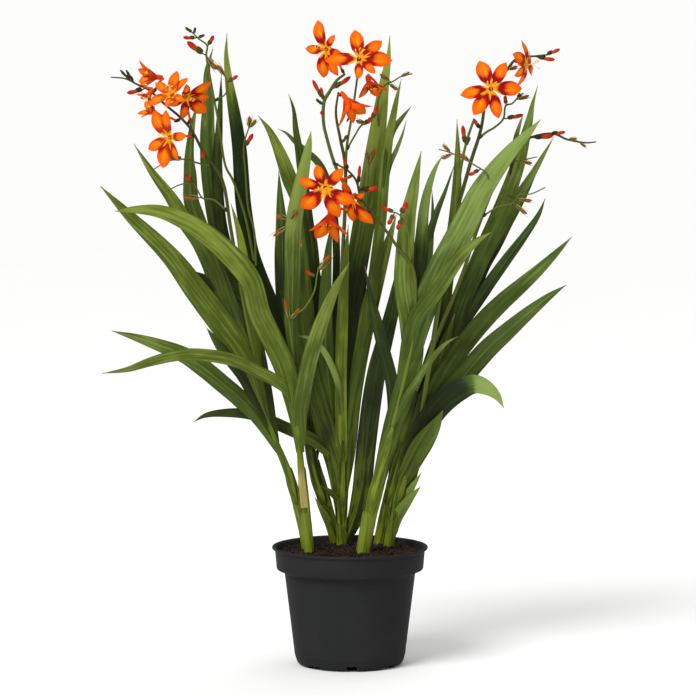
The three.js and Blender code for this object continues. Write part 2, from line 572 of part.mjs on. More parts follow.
        thick: [6, 5, 4, 3.4, 2.2], depths: [28, 14], buds: [
          { foot: [234, 745], tip: [253, 752], fat: 5 }, { foot: [222, 744], tip: [247, 739], fat: 5.5 },
          { foot: [155, 655], tip: [149, 668], fat: 5 }, { foot: [190, 726], tip: [202, 731], fat: 4.5 }] },
      { from: ["stem", 0], path: [[155, 644], [165, 652], [175, 658], [185, 668], [188, 684],
        [195, 686], [203, 694],
        [209, 699]], thick: [3, 2.4, 1.8], depths: [16, 6], buds: [
          { foot: [185, 668], tip: [209, 673], fat: 5.5 }, { foot: [188, 684], tip: [187, 696], fat: 5 },
          { foot: [200, 691], tip: [216, 696], fat: 4.5 },
            { foot: [202, 692], tip: [205, 699], fat: 3.5 }] },
      { from: ["stem", 0], path: [[124, 538], [130, 580], [137, 625], [143, 648], [150, 668]],
        thick: [4, 3.4, 3],
        depths: [24, 10], buds: [{ foot: [134, 636], tip: [136, 660], fat: 6 },
          { foot: [139, 634], tip: [145, 646], fat: 4 }] },
    ],
  },
  right_back: {
    depth: 54,
    foot: [[34, 110], [34, 140], [46, 200], [58, 250], [70, 300], [82, 345]],
    footWidth: [12, 13, 13, 10, 3],
    leaves: [
      { path: [[38, 165], [52, 225], [65, 280], [82, 335], [105, 375], [120, 400], [135, 445], [150, 480],
        [165, 515], [178, 545], [188, 570], [197, 595], [205, 620], [211, 645], [216, 665], [220, 685],
        [226, 707]], width: 23, tipDepth: 64, turn: 0 },
      { from: ["leaf", 0], path: [[193, 600], [199, 640], [203, 655], [209, 674]], width: 6,
        tipDepth: 70, turn: 0 },
      { path: [[80, 338], [112, 400], [130, 435], [146, 460], [162, 495], [178, 525], [194, 555],
        [207, 580], [221, 602], [234, 625], [246, 646]], width: 14, tipDepth: 88, turn: 6 },
      { path: [[74, 318], [122, 412], [150, 460], [163, 490], [177, 515], [190, 540], [203, 562],
        [215, 583], [224, 599]], width: 14, tipDepth: 108, turn: 0 },
      { path: [[74, 318], [105, 370], [118, 393], [135, 418], [152, 443], [170, 470], [190, 498],
        [210, 525], [228, 552], [236, 572]], width: 16, tipDepth: 74, turn: 10 },
      { path: [[78, 330], [95, 372], [108, 405], [114, 440], [118, 475], [122, 510], [127, 550],
        [129, 580], [130, 610], [130, 640], [129, 667]], width: 16, tipDepth: 92, turn: 10 },
      { path: [[68, 296], [73, 350], [78, 400], [82, 450], [89, 490], [97, 530], [105, 555], [115, 580],
        [127, 615]], width: 11, tipDepth: 104, turn: 8 },
      { path: [[81, 440], [92, 470], [97, 500], [99, 530], [100, 560], [99, 583]], width: 6, tipDepth: 112,
        turn: 0 },
    ],
    stems: [
      { path: [[80, 338], [112, 420], [136, 480], [156, 540], [176, 590], [194, 618], [208, 640],
        [220, 646], [245, 650], [262, 643], [285, 639], [297, 640]], thick: [5, 4.4, 3.4, 3, 1.6],
        depths: [52, 44], buds: [
          { foot: [217, 646], tip: [246, 648], fat: 6.5 }, { foot: [206, 640], tip: [217, 653], fat: 6 },
          { foot: [240, 650], tip: [260, 652], fat: 5 }, { foot: [277, 641], tip: [285, 634], fat: 3 },
          { foot: [262, 643], tip: [274, 644], fat: 4 }] },
      { from: ["stem", 0], path: [[182, 598], [192, 614], [208, 618], [226, 622]],
        thick: [2.4, 1.8, 1.4], depths: [50, 42],
        buds: [{ foot: [206, 618], tip: [220, 614], fat: 4.5 },
          { foot: [192, 614], tip: [200, 622], fat: 4 }] },
      { from: ["stem", 0], path: [[160, 548], [180, 562], [197, 566], [204, 576], [218, 577], [236, 585]],
        thick: [2.4, 2, 1.4], depths: [50, 40], buds: [
          { foot: [200, 572], tip: [220, 569], fat: 4.5 }, { foot: [198, 566], tip: [214, 553], fat: 4.5 },
          { foot: [200, 572], tip: [190, 576], fat: 4 }] },
    ],
  },
};

// Blooms: a slender curved tube that stands on a stem (`on` names the shoot and which of its stems) near
// `seat` and opens at `mouth` into six tepals. `facing` is the way the mouth looks, `petal` is a tepal's
// usual length and `open` its angle from the tube's line. `spin` turns the even round of tepals about the
// mouth, and a bloom that is seen well has each one's angle and length in `tepals` instead.
const BLOOMS = {
  left_a: { on: ["left", 0], seat: [-238, 699], mouth: [-234, 718], depth: 9, facing: [-0.93, -0.35, 0.08],
    petal: 26, open: 18, tepals: [[100, 28], [150, 24], [200, 24], [258, 25], [320, 22], [30, 22]] },
  left_b: { on: ["left", 0], seat: [-222, 684], mouth: [-215, 697], depth: -45,
    facing: [-0.35, -0.75, 0.55],
    petal: 26, open: 60, tepals: [[88, 28], [52, 25], [335, 18], [275, 20], [208, 27], [150, 26]] },
  left_c: { on: ["left", 0], seat: [-196, 661], mouth: [-198, 694], depth: -20,
    facing: [0.35, -0.75, -0.55],
    petal: 30, open: 62, tepals: [[327, 33], [2, 27], [38, 32], [105, 22], [215, 20], [274, 28]] },
  left_d: { on: ["left", 0], seat: [-248, 706], mouth: [-243, 696], depth: -24, facing: [-0.5, -0.4, -0.76],
    spin: 10, petal: 13, open: 40 },
  left_e: { on: ["left", 0], seat: [-204, 669], mouth: [-237, 676], depth: -6,
    facing: [-0.75, -0.45, 0.5], spin: 35, petal: 18, open: 24 },
  left_f: { on: ["left", 0], seat: [-187, 648], mouth: [-218, 645], depth: -34,
    facing: [-0.5, -0.82, -0.15], petal: 34, open: 68,
    tepals: [[8, 22], [88, 32], [128, 37], [206, 31], [250, 37], [286, 26]] },
  top_a: { on: ["centre", 1], seat: [-7, 722], mouth: [-29, 751], depth: 10, facing: [-0.55, -0.8, -0.15],
    petal: 34, open: 72, tepals: [[345, 22], [52, 20], [112, 35], [178, 26], [252, 35], [290, 32]] },
  top_b: { on: ["centre", 2], seat: [9, 719], mouth: [11, 740], depth: -22, facing: [0.04, -0.94, 0.3],
    petal: 36, open: 74, tepals: [[0, 38], [40, 34], [97, 34], [182, 38], [268, 21], [316, 24]] },
  top_c: { on: ["centre", 4], seat: [40, 705], mouth: [23, 712], depth: 10, facing: [0.25, -0.35, -0.9],
    spin: 25, petal: 24, open: 30 },
  top_d: { on: ["centre", 0], seat: [-15, 698], mouth: [-5, 692], depth: -12, facing: [0.5, -0.35, -0.79],
    spin: 0, petal: 33, open: 16 },
  middle_a: { on: ["right_front", 0], seat: [2, 600], mouth: [-30, 584], depth: -87,
    facing: [-0.2, -0.93, -0.3], petal: 34, open: 76,
    tepals: [[331, 36], [47, 31], [112, 27], [160, 31], [221, 41], [288, 40]] },
  middle_b: { on: ["right_front", 0], seat: [13, 572], mouth: [2, 571], depth: -66,
    facing: [-0.4, -0.72, -0.56],
    petal: 28, open: 66, tepals: [[95, 24], [155, 18], [208, 18], [258, 30], [300, 37], [22, 18]] },
  middle_c: { on: ["right_front", 0], seat: [26, 556], mouth: [-24, 552], depth: -42,
    facing: [-0.15, -0.42, -0.9], spin: -12, petal: 35, open: 20 },
  right_a: { on: ["right", 0], seat: [166, 693], mouth: [170, 704], depth: -24, facing: [0, -0.99, 0.14],
    petal: 35, tepals: [[2, 36], [60, 34], [112, 36], [191, 35], [236, 35], [285, 34]] },
  right_b: { on: ["right", 0], seat: [199, 739], mouth: [213, 733], depth: -13, facing: [0.9, -0.42, -0.05],
    spin: 30, petal: 28, open: 84 },
};

// Materials
function plain(color, roughness) {
  return new THREE.MeshStandardMaterial({ color, roughness, metalness: 0 });
}
const potPlastic = plain(0x17181a, 0.55);
const peat = plain(0x2a1c12, 0.95);
const leafGreen = plain(0x43682a, 0.5);
const tepalOrange = plain(0xf2581a, 0.5);

function footRod(shoot, extra) {
  const points = shoot.foot.map(([x, z]) => placed(x, z, shoot.depth));
  const radii = shoot.footWidth.map((w) => [w / 2 + extra, w * 0.34 + extra]);
  return rod(points, radii, 8, 5);
}

function corm(shoot, extra) {
  const ball = new THREE.SphereGeometry(CORM_RADIUS + extra, 6, 4).scale(1, 1, 0.8);
  const [x, z] = shoot.foot[0];
  const place = placed(x, z, shoot.depth);
  return solidOf(ball.rotateX(Math.PI / 2).translate(place.x, place.y, CORM_LEVEL));
}

function shootSolid(shoot) {
  const pieces = [footRod(shoot, 0), corm(shoot, 0)];
  for (const one of shoot.leaves) pieces.push(leaf(one, shoot));
  for (const one of shoot.stems) pieces.push(stem(one, shoot));
  return largestBody(joined(pieces));
}

function mouthFrame(facing) {
  const out = new THREE.Vector3(...facing).normalize();
  const up = new THREE.Vector3(0, 0, 1).addScaledVector(out, -out.z).normalize();
  return { out, up, right: new THREE.Vector3().crossVectors(up, out) };
}

// No two tepals are quite alike: a steady wave of the bloom's place and the tepal's number, -1 to 1,
// stands for that.
function wobble(bloom, k, kind) {
  return Math.sin(0.37 * bloom.mouth[0] + 2.1 * k + 1.3 * kind);
}

function tepalSetting(bloom, k) {
  const { spin, petal, open = 78, tepals } = bloom;
  const even = () => {
    const length = petal * (k % 2 ? 0.96 : 1) * (1 + 0.06 * wobble(bloom, k, 1));
    return [spin + 60 * k + 5 * wobble(bloom, k, 0), length];
  };
  const [angle, length] = tepals ? tepals[k] : even();
  return { angle, length, lean: open + (k % 2 ? 0 : 6) + 7 * wobble(bloom, k, 2) };
}

// One tepal: a cupped oval, widest beyond its middle, that leaves the mouth at `open` degrees and curls
// back a little.
function tepal(mouth, frame, { angle, length, lean: open }, broad) {
  const around = THREE.MathUtils.degToRad(angle);
  const radial = frame.right.clone().multiplyScalar(Math.cos(around));
  radial.addScaledVector(frame.up, Math.sin(around));
  const across = new THREE.Vector3().crossVectors(frame.out, radial);
  const widths = [0.05, 0.19, 0.26, 0.05];
  const rings = widths.map((share, i) => {
    const t = i / (widths.length - 1);
    const lean = THREE.MathUtils.degToRad(open + 18 * t);
    const reach = length * t;
    const centre = mouth
      .clone()
      .addScaledVector(radial, TEPAL_ROOT + reach * Math.sin(lean))
      .addScaledVector(frame.out, reach * Math.cos(lean) - 1);
    const half = share * length * broad;
    const normal = frame.out.clone().multiplyScalar(Math.sin(lean)).addScaledVector(radial, -Math.cos(lean));
    return [
      centre.clone().addScaledVector(across, -half).addScaledVector(normal, -0.35),
      centre.clone().addScaledVector(across, half).addScaledVector(normal, -0.35),
      centre.clone().addScaledVector(across, half).addScaledVector(normal, 0.35),
      centre.clone().addScaledVector(across, -half).addScaledVector(normal, 0.35),
    ];
  });
  return loft(rings);
}

function bloomSolid(bloom) {
  const { on, seat, mouth, depth, facing } = bloom;
  const frame = mouthFrame(facing);
  const throat = placed(mouth[0], mouth[1], depth);
  const behind = throat.clone().addScaledVector(frame.out, -9);
  const shoot = SHOOTS[on[0]];
  const carrier = shoot.stems[on[1]];
  const place = nearestOn(stemLine(carrier, shoot), seat);
  const leaving = behind.clone().sub(place.point);
  leaving.addScaledVector(place.along, -leaving.dot(place.along)).normalize();
  const clear = thicknessAt(carrier.thick, place.t) / 2 + SEAT_GAP / 2;
  const start = place.point.clone().addScaledVector(leaving, clear);
  const neck = start.clone().addScaledVector(leaving, 3);
  const middle = neck.clone().lerp(behind, 0.6).addScaledVector(frame.up, 1.5);
  const radii = [1.1, 1.6, 2.4, 4.2].map((r) => [r, r]);
  const pieces = [rod([start, neck, middle, behind, throat], radii, 5, 4)];
  for (let k = 0; k < 6; k++) {
    pieces.push(tepal(throat, frame, tepalSetting(bloom, k), k % 2 ? 0.84 : 1));
  }
  return largestBody(joined(pieces));
}

const plant = new THREE.Group();
plant.name = "potted_crocosmia";
plant.add(meshOf("pot", potSolid(), potPlastic));
const holes = Object.values(SHOOTS).flatMap((shoot) => [footRod(shoot, SEAT_GAP), corm(shoot, SEAT_GAP)]);
plant.add(meshOf("soil", soilSolid(holes), peat));
for (const [name, shoot] of Object.entries(SHOOTS)) {
  plant.add(meshOf(`shoot_${name}`, shootSolid(shoot), leafGreen));
}
for (const [name, bloom] of Object.entries(BLOOMS)) {
  plant.add(meshOf(`bloom_${name}`, bloomSolid(bloom), tepalOrange));
}

export default plant;
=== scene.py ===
# %% [markdown]
# A potted crocosmia: a fan-leaved garden perennial with arching sprays of orange flowers, standing in a
# round black nursery pot. The CAD model gives the size, the place and the rough form of every piece: the
# pot, the soil, seven shoots and fifteen blooms. This script dresses them. Leaves get pleats and veins,
# flower stems get bracts and buds, blooms get soft tepals with stamens, and the soil gets its crumbs.

import math
from collections import namedtuple

import bpy
import numpy as np
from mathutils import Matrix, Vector


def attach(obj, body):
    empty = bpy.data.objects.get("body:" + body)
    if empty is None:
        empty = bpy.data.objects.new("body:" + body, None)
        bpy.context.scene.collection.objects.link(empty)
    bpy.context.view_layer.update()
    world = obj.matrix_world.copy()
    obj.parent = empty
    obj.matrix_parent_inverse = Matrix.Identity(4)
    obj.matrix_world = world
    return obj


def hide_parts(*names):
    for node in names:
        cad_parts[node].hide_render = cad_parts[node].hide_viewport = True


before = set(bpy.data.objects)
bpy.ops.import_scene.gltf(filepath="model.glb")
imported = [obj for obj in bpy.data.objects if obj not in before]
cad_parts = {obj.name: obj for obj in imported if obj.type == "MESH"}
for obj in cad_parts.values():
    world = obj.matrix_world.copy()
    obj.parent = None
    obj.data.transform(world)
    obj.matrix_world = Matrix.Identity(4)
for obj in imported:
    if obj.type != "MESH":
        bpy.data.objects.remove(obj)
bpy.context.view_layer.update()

# %% [markdown]
# The plant was photographed from about five metres with a long lens, looking down a little, so the pot's
# rim shows as a thin ellipse and nothing is stretched by perspective. The camera is put there, and its
# lens is worked out from the width of the view at the pot.

# %% Camera
MM = 0.001
EYE_DISTANCE = 5000 * MM
EYE_HEIGHT = 883.5 * MM
EYE_SIDE = -2.4 * MM
LOOK_DOWN = math.radians(5.67)
VIEW_WIDTH = 844 * MM  # what the frame takes in, side to side, at the pot's axis
SENSOR = 36

camera = bpy.data.objects.new("camera", bpy.data.cameras.new("camera"))
bpy.context.scene.collection.objects.link(camera)
bpy.context.scene.camera = camera
sight = EYE_DISTANCE / math.cos(LOOK_DOWN)
camera.data.sensor_width = SENSOR
camera.data.lens = SENSOR * sight / VIEW_WIDTH
camera.location = (EYE_SIDE, -EYE_DISTANCE, EYE_HEIGHT)
camera.rotation_euler = (math.pi / 2 - LOOK_DOWN, 0, 0)
print("lens, mm:", round(camera.data.lens, 1))

# %% [markdown]
# Studio light: a soft key from the front left and above, a weak soft box low on the right, one behind and
# overhead, and a pale, even room around. Leaves overlap deeply here, so the fill stays gentle and the gaps
# between the blades go dark, which is what makes the fan read as deep. Colours are shown as plain sRGB,
# because the film-like view washes out strong orange.

# %% Light
ROOM_LIGHT = 0.52
KEY_PLACE = (-2.2, -3.0, 3.6)  # only its direction counts: a sun lamp lights the floor evenly, far back
KEY_STRENGTH = 2.5
KEY_SPREAD = math.radians(30)
SOFT_BOXES = {
    # name: (place, width, watts)
    "fill": ((2.6, -3.0, 1.4), 1.6, 12),
    "over": ((0.5, 1.2, 2.8), 1.6, 14),
}
AIM = Vector((0, 0, 0.4))


def shone(lamp, place):
    """Puts a lamp at a place in the scene and turns it to the plant."""
    light = bpy.data.objects.new(lamp.name, lamp)
    light.location = place
    light.rotation_euler = (AIM - light.location).to_track_quat("-Z", "Y").to_euler()
    bpy.context.scene.collection.objects.link(light)


bpy.context.scene.view_settings.view_transform = "Standard"
room = bpy.data.worlds.new("room")
room.use_nodes = True
room.node_tree.nodes["Background"].inputs["Color"].default_value = (1, 1, 1, 1)
room.node_tree.nodes["Background"].inputs["Strength"].default_value = ROOM_LIGHT
bpy.context.scene.world = room

for name, (place, width, watts) in SOFT_BOXES.items():
    soft_box = bpy.data.lights.new(name, "AREA")
    soft_box.size = width
    soft_box.energy = watts
    shone(soft_box, place)

key = bpy.data.lights.new("key", "SUN")
key.energy = KEY_STRENGTH
key.angle = KEY_SPREAD
shone(key, KEY_PLACE)
print("lamps:", [lamp.name for lamp in bpy.data.lights])


# %% [markdown]
# Every material here starts the same way, as a Principled shader, and ends with a colour and a fine relief
# for it, so two small helpers do that. The rest of this step is shorthand for linking nodes.

# %% Material helpers
def principled(name, roughness, specular):
    material = bpy.data.materials.new(name)
    material.use_nodes = True
    shader = material.node_tree.nodes["Principled BSDF"]
    shader.inputs["Roughness"].default_value = roughness
    shader.inputs["Specular IOR Level"].default_value = specular
    return material, material.node_tree


def node(tree, kind, settings=None, **values):
    made = tree.nodes.new(kind)
    for key, value in (settings or {}).items():
        setattr(made, key, value)
    for key, value in values.items():
        made.inputs[key.replace("_", " ")].default_value = value
    return made


def attribute(tree, name):
    return node(tree, "ShaderNodeAttribute", {"attribute_name": name}).outputs["Fac"]


def object_place(tree):
    return node(tree, "ShaderNodeTexCoord").outputs["Object"]


def maths(tree, operation, first, second=None, third=None, clamp=False):
    made = node(tree, "ShaderNodeMath", {"operation": operation, "use_clamp": clamp})
    for socket, value in zip(made.inputs, (first, second, third)):
        if value is None:
            continue
        if isinstance(value, (int, float)):
            socket.default_value = value
        else:
            tree.links.new(value, socket)
    return made.outputs[0]


def times(tree, first, second):
    return maths(tree, "MULTIPLY", first, second)


def spread(tree, value, low, high, out_low=0.0, out_high=1.0):
    """Maps low..high to out_low..out_high, smoothly and clamped."""
    made = node(tree, "ShaderNodeMapRange", {"interpolation_type": "SMOOTHSTEP"})
    made.inputs["From Min"].default_value = low
    made.inputs["From Max"].default_value = high
    made.inputs["To Min"].default_value = out_low
    made.inputs["To Max"].default_value = out_high
    tree.links.new(value, made.inputs["Value"])
    return made.outputs["Result"]


def mixed(tree, share, first, second, blend="MIX"):
    """Mixes two colours: each is a tuple or a socket."""
    made = node(tree, "ShaderNodeMix", {"data_type": "RGBA", "blend_type": blend})
    for socket, value in zip((made.inputs[0], made.inputs[6], made.inputs[7]), (share, first, second)):
        if isinstance(value, tuple):
            socket.default_value = (*value, 1)
        elif isinstance(value, (int, float)):
            socket.default_value = value
        else:
            tree.links.new(value, socket)
    return made.outputs[2]


def noise(tree, vector, scale, detail=2.0, roughness=0.5):
    made = node(tree, "ShaderNodeTexNoise", Scale=scale, Detail=detail, Roughness=roughness)
    tree.links.new(vector, made.inputs["Vector"])
    return made.outputs["Fac"]


def stretched(tree, vector, scale):
    made = node(tree, "ShaderNodeMapping", Scale=scale)
    tree.links.new(vector, made.inputs["Vector"])
    return made.outputs["Vector"]


def dressed(material, colour, height=None, relief=0.0, strength=1.0, roughness=None):
    """Links a colour, a height that stands out by `relief`, and a roughness if it varies, to the shader."""
    tree = material.node_tree
    shader = tree.nodes["Principled BSDF"]
    tree.links.new(colour, shader.inputs["Base Color"])
    if roughness is not None:
        tree.links.new(roughness, shader.inputs["Roughness"])
    if height is not None:
        bump = node(tree, "ShaderNodeBump", Strength=strength, Distance=relief)
        tree.links.new(height, bump.inputs["Height"])
        tree.links.new(bump.outputs["Normal"], shader.inputs["Normal"])
    print(material.name, "has", len(tree.nodes), "nodes")
    return material


# %% [markdown]
# The floor is a pale, dull sheet. It runs far back, so that it fills the view behind the plant and the
# horizon never shows. Every new mesh in this script starts like it, from a primitive that is added while
# nothing else is selected.

# %% Floor
FLOOR_SIZE = 260
FLOOR_PALE = ((0.95, 0.95, 0.94), (0.97, 0.97, 0.96))


def added(primitive, **settings):
    bpy.ops.object.select_all(action="DESELECT")
    primitive(**settings)
    return bpy.context.object


def floor_material():
    material, tree = principled("pale_floor", 0.9, 0.1)
    return dressed(material, mixed(tree, noise(tree, object_place(tree), 3.0), *FLOOR_PALE))


floor = added(bpy.ops.mesh.primitive_plane_add, size=FLOOR_SIZE)
floor.name = "floor"
floor.data.materials.append(floor_material())

# %% [markdown]
# Plant tissue has a grain: leaves, stems and petals all show fine lines that run lengthwise, stronger and
# paler here and there. That grain is one node group. It reads a UV map laid out in centimetres, u across
# and v along, so the lines keep their real width on a wide leaf and on a narrow one. Its outputs are
# `streak`, soft light and dark bands, and `veins`, the raised lines themselves.

# %% Grain of plant tissue
def tissue_group():
    group = bpy.data.node_groups.new("tissue_grain", "ShaderNodeTree")
    face = group.interface
    face.new_socket("vector", in_out="INPUT", socket_type="NodeSocketVector")
    face.new_socket("lines per cm", in_out="INPUT", socket_type="NodeSocketFloat")
    face.new_socket("streak", in_out="OUTPUT", socket_type="NodeSocketFloat")
    face.new_socket("veins", in_out="OUTPUT", socket_type="NodeSocketFloat")
    inside = group.nodes.new("NodeGroupInput")
    out = group.nodes.new("NodeGroupOutput")
    broad = noise(group, stretched(group, inside.outputs["vector"], (1.5, 0.06, 1)), 2.0, 4, 0.6)
    patchy = noise(group, stretched(group, inside.outputs["vector"], (0.5, 0.2, 1)), 1.3, 2)
    streak = maths(group, "MULTIPLY_ADD", broad, 0.65, times(group, patchy, 0.35))
    group.links.new(spread(group, streak, 0.32, 0.68), out.inputs["streak"])
    apart = node(group, "ShaderNodeSeparateXYZ")
    group.links.new(inside.outputs["vector"], apart.inputs[0])
    turns = times(group, apart.outputs["X"], inside.outputs["lines per cm"])
    wave = maths(group, "SINE", times(group, turns, 2 * math.pi))
    lines = maths(group, "MULTIPLY_ADD", wave, 0.5, 0.5)
    fading = noise(group, stretched(group, inside.outputs["vector"], (3, 0.15, 1)), 2.0, 2)
    group.links.new(times(group, lines, fading), out.inputs["veins"])
    return group


TISSUE = tissue_group()
VEIN_RELIEF = 0.3 * MM  # on leaves and dry sheaths
FINE_RELIEF = 0.2 * MM  # on stems, buds, petals and the pot


def tissue(tree, lines_per_cm):
    made = node(tree, "ShaderNodeGroup", {"node_tree": TISSUE})
    made.inputs["lines per cm"].default_value = lines_per_cm
    grain = node(tree, "ShaderNodeUVMap", {"uv_map": "grain"})
    tree.links.new(grain.outputs["UV"], made.inputs["vector"])
    return made.outputs["streak"], made.outputs["veins"]


print("tissue grain nodes:", len(TISSUE.nodes))

# %% [markdown]
# A crocosmia blade is mid green, paler and yellower near its foot, where little light reaches it, and
# every blade has its own tone: outer ones are light olive, the ones deep in the fan almost blackish
# green. That darkness is partly the blade's own deeper green and partly painted shade: blades at the
# back and low inside the fan, and mostly the lower part of a blade, are painted darker where the fan
# shades them. The mesh carries tone and painted shade together as the attribute `tone`, how far along
# the blade a point lies as `reach`, how far from the midrib as `rim`, how bluish its green is as `cool`
# and how much of the pale foot it shows as `papery`. The midrib is a thin paler line, the rim a thin
# darker one, and old tips go dry and brown.

# %% Leaf material
# LEAF_DARK to LEAF_LIGHT is the ramp of the blade's tone and painted shade; LEAF_DARK also draws the darker
# rim.
LEAF_DARK = (0.011, 0.018, 0.003)
LEAF_MIDDLE = (0.055, 0.084, 0.010)
LEAF_LIGHT = (0.210, 0.268, 0.058)
LEAF_FOOT = (0.178, 0.214, 0.006)
LEAF_MIDRIB = (0.190, 0.245, 0.050)
LEAF_DRY = (0.230, 0.150, 0.060)
WARM_GREEN = (1.04, 1.0, 0.34)  # these two multiply a leaf's green and make it yellower or bluer
COOL_GREEN = (0.92, 1.0, 1.08)
FOOT_PALES = (0.15, 0.34)  # heights, in metres, between which the paler foot turns leaf green


def leaf_material():
    material, tree = principled("leaf_green", 0.5, 0.14)
    streak, veins = tissue(tree, 8)
    rim = attribute(tree, "rim")
    patch = maths(tree, "MULTIPLY_ADD", streak, 0.26, -0.13)
    # The tone, with its painted shade of the fan's inside, picks the blade's green from dark to light.
    toned_and_shaded = spread(tree, maths(tree, "ADD", attribute(tree, "tone"), patch), 0.04, 0.96)
    colour = mixed(tree, spread(tree, toned_and_shaded, 0.0, 0.5), LEAF_DARK, LEAF_MIDDLE)
    colour = mixed(tree, spread(tree, toned_and_shaded, 0.45, 1.0), colour, LEAF_LIGHT)
    foot = spread(tree, attribute(tree, "height"), *FOOT_PALES, 1.0, 0.0)
    foot = times(tree, foot, attribute(tree, "papery"))
    foot = times(tree, foot, spread(tree, streak, 0.3, 0.72, 0.05, 1.0))
    colour = mixed(tree, foot, colour, LEAF_FOOT)
    cool = maths(tree, "MULTIPLY_ADD", streak, 0.4, attribute(tree, "cool"))
    tint = mixed(tree, spread(tree, cool, 0.1, 1.2), WARM_GREEN, COOL_GREEN)
    colour = mixed(tree, 1.0, colour, tint, "MULTIPLY")
    midrib = times(tree, spread(tree, rim, 0.0, 0.09, 0.35, 0.0), spread(tree, toned_and_shaded, 0.1, 0.7))
    colour = mixed(tree, midrib, colour, LEAF_MIDRIB)
    colour = mixed(tree, spread(tree, rim, 0.86, 1.0, 0.0, 0.45), colour, LEAF_DARK)
    colour = mixed(tree, times(tree, veins, 0.16), colour, (1, 1, 1), "SOFT_LIGHT")
    dry_tip = times(tree, spread(tree, attribute(tree, "reach"), 0.955, 1.0), spread(tree, streak, 0.3, 0.8))
    colour = mixed(tree, dry_tip, colour, LEAF_DRY)
    roughness = spread(tree, streak, 0.0, 1.0, 0.44, 0.58)
    return dressed(material, colour, veins, VEIN_RELIEF, roughness=roughness)


LEAF = leaf_material()

# %% [markdown]
# Flower stems are smooth, thin and wiry, green low down and brown-green in the spray, where sun turns
# them. The same finish serves the bracts, the small pointed scales that hold each bud: they are dark
# brown-green with a papery, paler tip. `tone` says how brown a piece is, `reach` how near the tip. A
# sheath that has died back is straw-coloured, with brown veins, and still green at its upper end.

# %% Stem, bract and dry sheath materials
STEM_GREEN = (0.115, 0.155, 0.024)
STEM_BROWN = (0.034, 0.027, 0.008)
BRACT_TIP = (0.150, 0.070, 0.022)
STREAK_LIGHT = (0.62, 0.62, 0.55)
SUN_BROWNS = (0.34, 0.62)  # heights, in metres, between which stems turn brown


def stalk_material():
    material, tree = principled("stalk_green", 0.55, 0.08)
    streak, veins = tissue(tree, 12)
    browned = times(tree, spread(tree, attribute(tree, "height"), *SUN_BROWNS), 0.7)
    browned = maths(tree, "ADD", browned, attribute(tree, "tone"), clamp=True)
    colour = mixed(tree, browned, STEM_GREEN, STEM_BROWN)
    tip = times(tree, spread(tree, attribute(tree, "reach"), 0.75, 1.0), attribute(tree, "papery"))
    colour = mixed(tree, tip, colour, BRACT_TIP)
    colour = mixed(tree, times(tree, streak, 0.6), colour, STREAK_LIGHT, "SOFT_LIGHT")
    return dressed(material, colour, veins, FINE_RELIEF)


STALK = stalk_material()

DRY_SHEATH = (0.500, 0.430, 0.120)
DRY_SHADE = (0.270, 0.230, 0.065)
DRY_GREEN = (0.150, 0.190, 0.008)
DRY_VEIN = (0.160, 0.090, 0.040)


def dry_material():
    material, tree = principled("dry_sheath", 0.7, 0.15)
    streak, veins = tissue(tree, 10)
    colour = mixed(tree, streak, DRY_SHADE, DRY_SHEATH)
    colour = mixed(tree, times(tree, veins, 0.5), colour, DRY_VEIN)
    greener = maths(tree, "MULTIPLY_ADD", streak, 0.15, attribute(tree, "reach"))
    colour = mixed(tree, spread(tree, greener, 0.48, 0.68), colour, DRY_GREEN)
    return dressed(material, colour, veins, VEIN_RELIEF)


DRY = dry_material()

# %% [markdown]
# A bud is the closed flower: red-orange with a soft sheen, deeper red toward its rounded tip and
# brown-green where the bracts hold it. One that has withered, marked by `spent`, is straw and brown.

# %% Bud material
BUD_RED = (0.360, 0.006, 0.003)
BUD_ORANGE = (0.500, 0.055, 0.006)
BUD_SHADE = (0.170, 0.018, 0.005)
SPENT_STRAW = (0.240, 0.095, 0.022)
SPENT_BROWN = (0.060, 0.028, 0.012)


def bud_material():
    material, tree = principled("bud_red", 0.45, 0.06)
    streak, veins = tissue(tree, 6)
    reach = maths(tree, "MULTIPLY_ADD", streak, 0.16, attribute(tree, "reach"))
    colour = mixed(tree, spread(tree, reach, 0.55, 1.05), BUD_ORANGE, BUD_RED)
    colour = mixed(tree, times(tree, spread(tree, streak, 0.5, 0.9), 0.35), colour, BUD_SHADE)
    colour = mixed(tree, spread(tree, reach, 0.40, 0.56, 1.0, 0.0), colour, STEM_BROWN)
    colour = mixed(tree, spread(tree, reach, 1.02, 1.10, 0.0, 0.5), colour, STEM_BROWN)
    straw = mixed(tree, spread(tree, streak, 0.25, 0.65), SPENT_STRAW, SPENT_BROWN)
    colour = mixed(tree, attribute(tree, "spent"), colour, straw)
    return dressed(material, colour, veins, FINE_RELIEF)


BUD = bud_material()

# %% [markdown]
# The petals, which in this family are called tepals, are orange with an amber streak down the middle and
# a redder rim. On the inner face a dark mahogany band crosses them near the throat, and the throat itself
# is golden yellow. The backs are plain orange-red. `side` tells the two faces of a tepal apart, and `tone`
# says how dark the band is. The stamens are orange threads with golden pollen at their ends.

# %% Tepal and stamen materials
TEPAL_ORANGE = (0.780, 0.110, 0.002)
TEPAL_RED = (0.620, 0.024, 0.002)
TEPAL_AMBER = (0.920, 0.320, 0.005)
TEPAL_MAHOGANY = (0.250, 0.005, 0.007)
THROAT_YELLOW = (0.820, 0.330, 0.008)


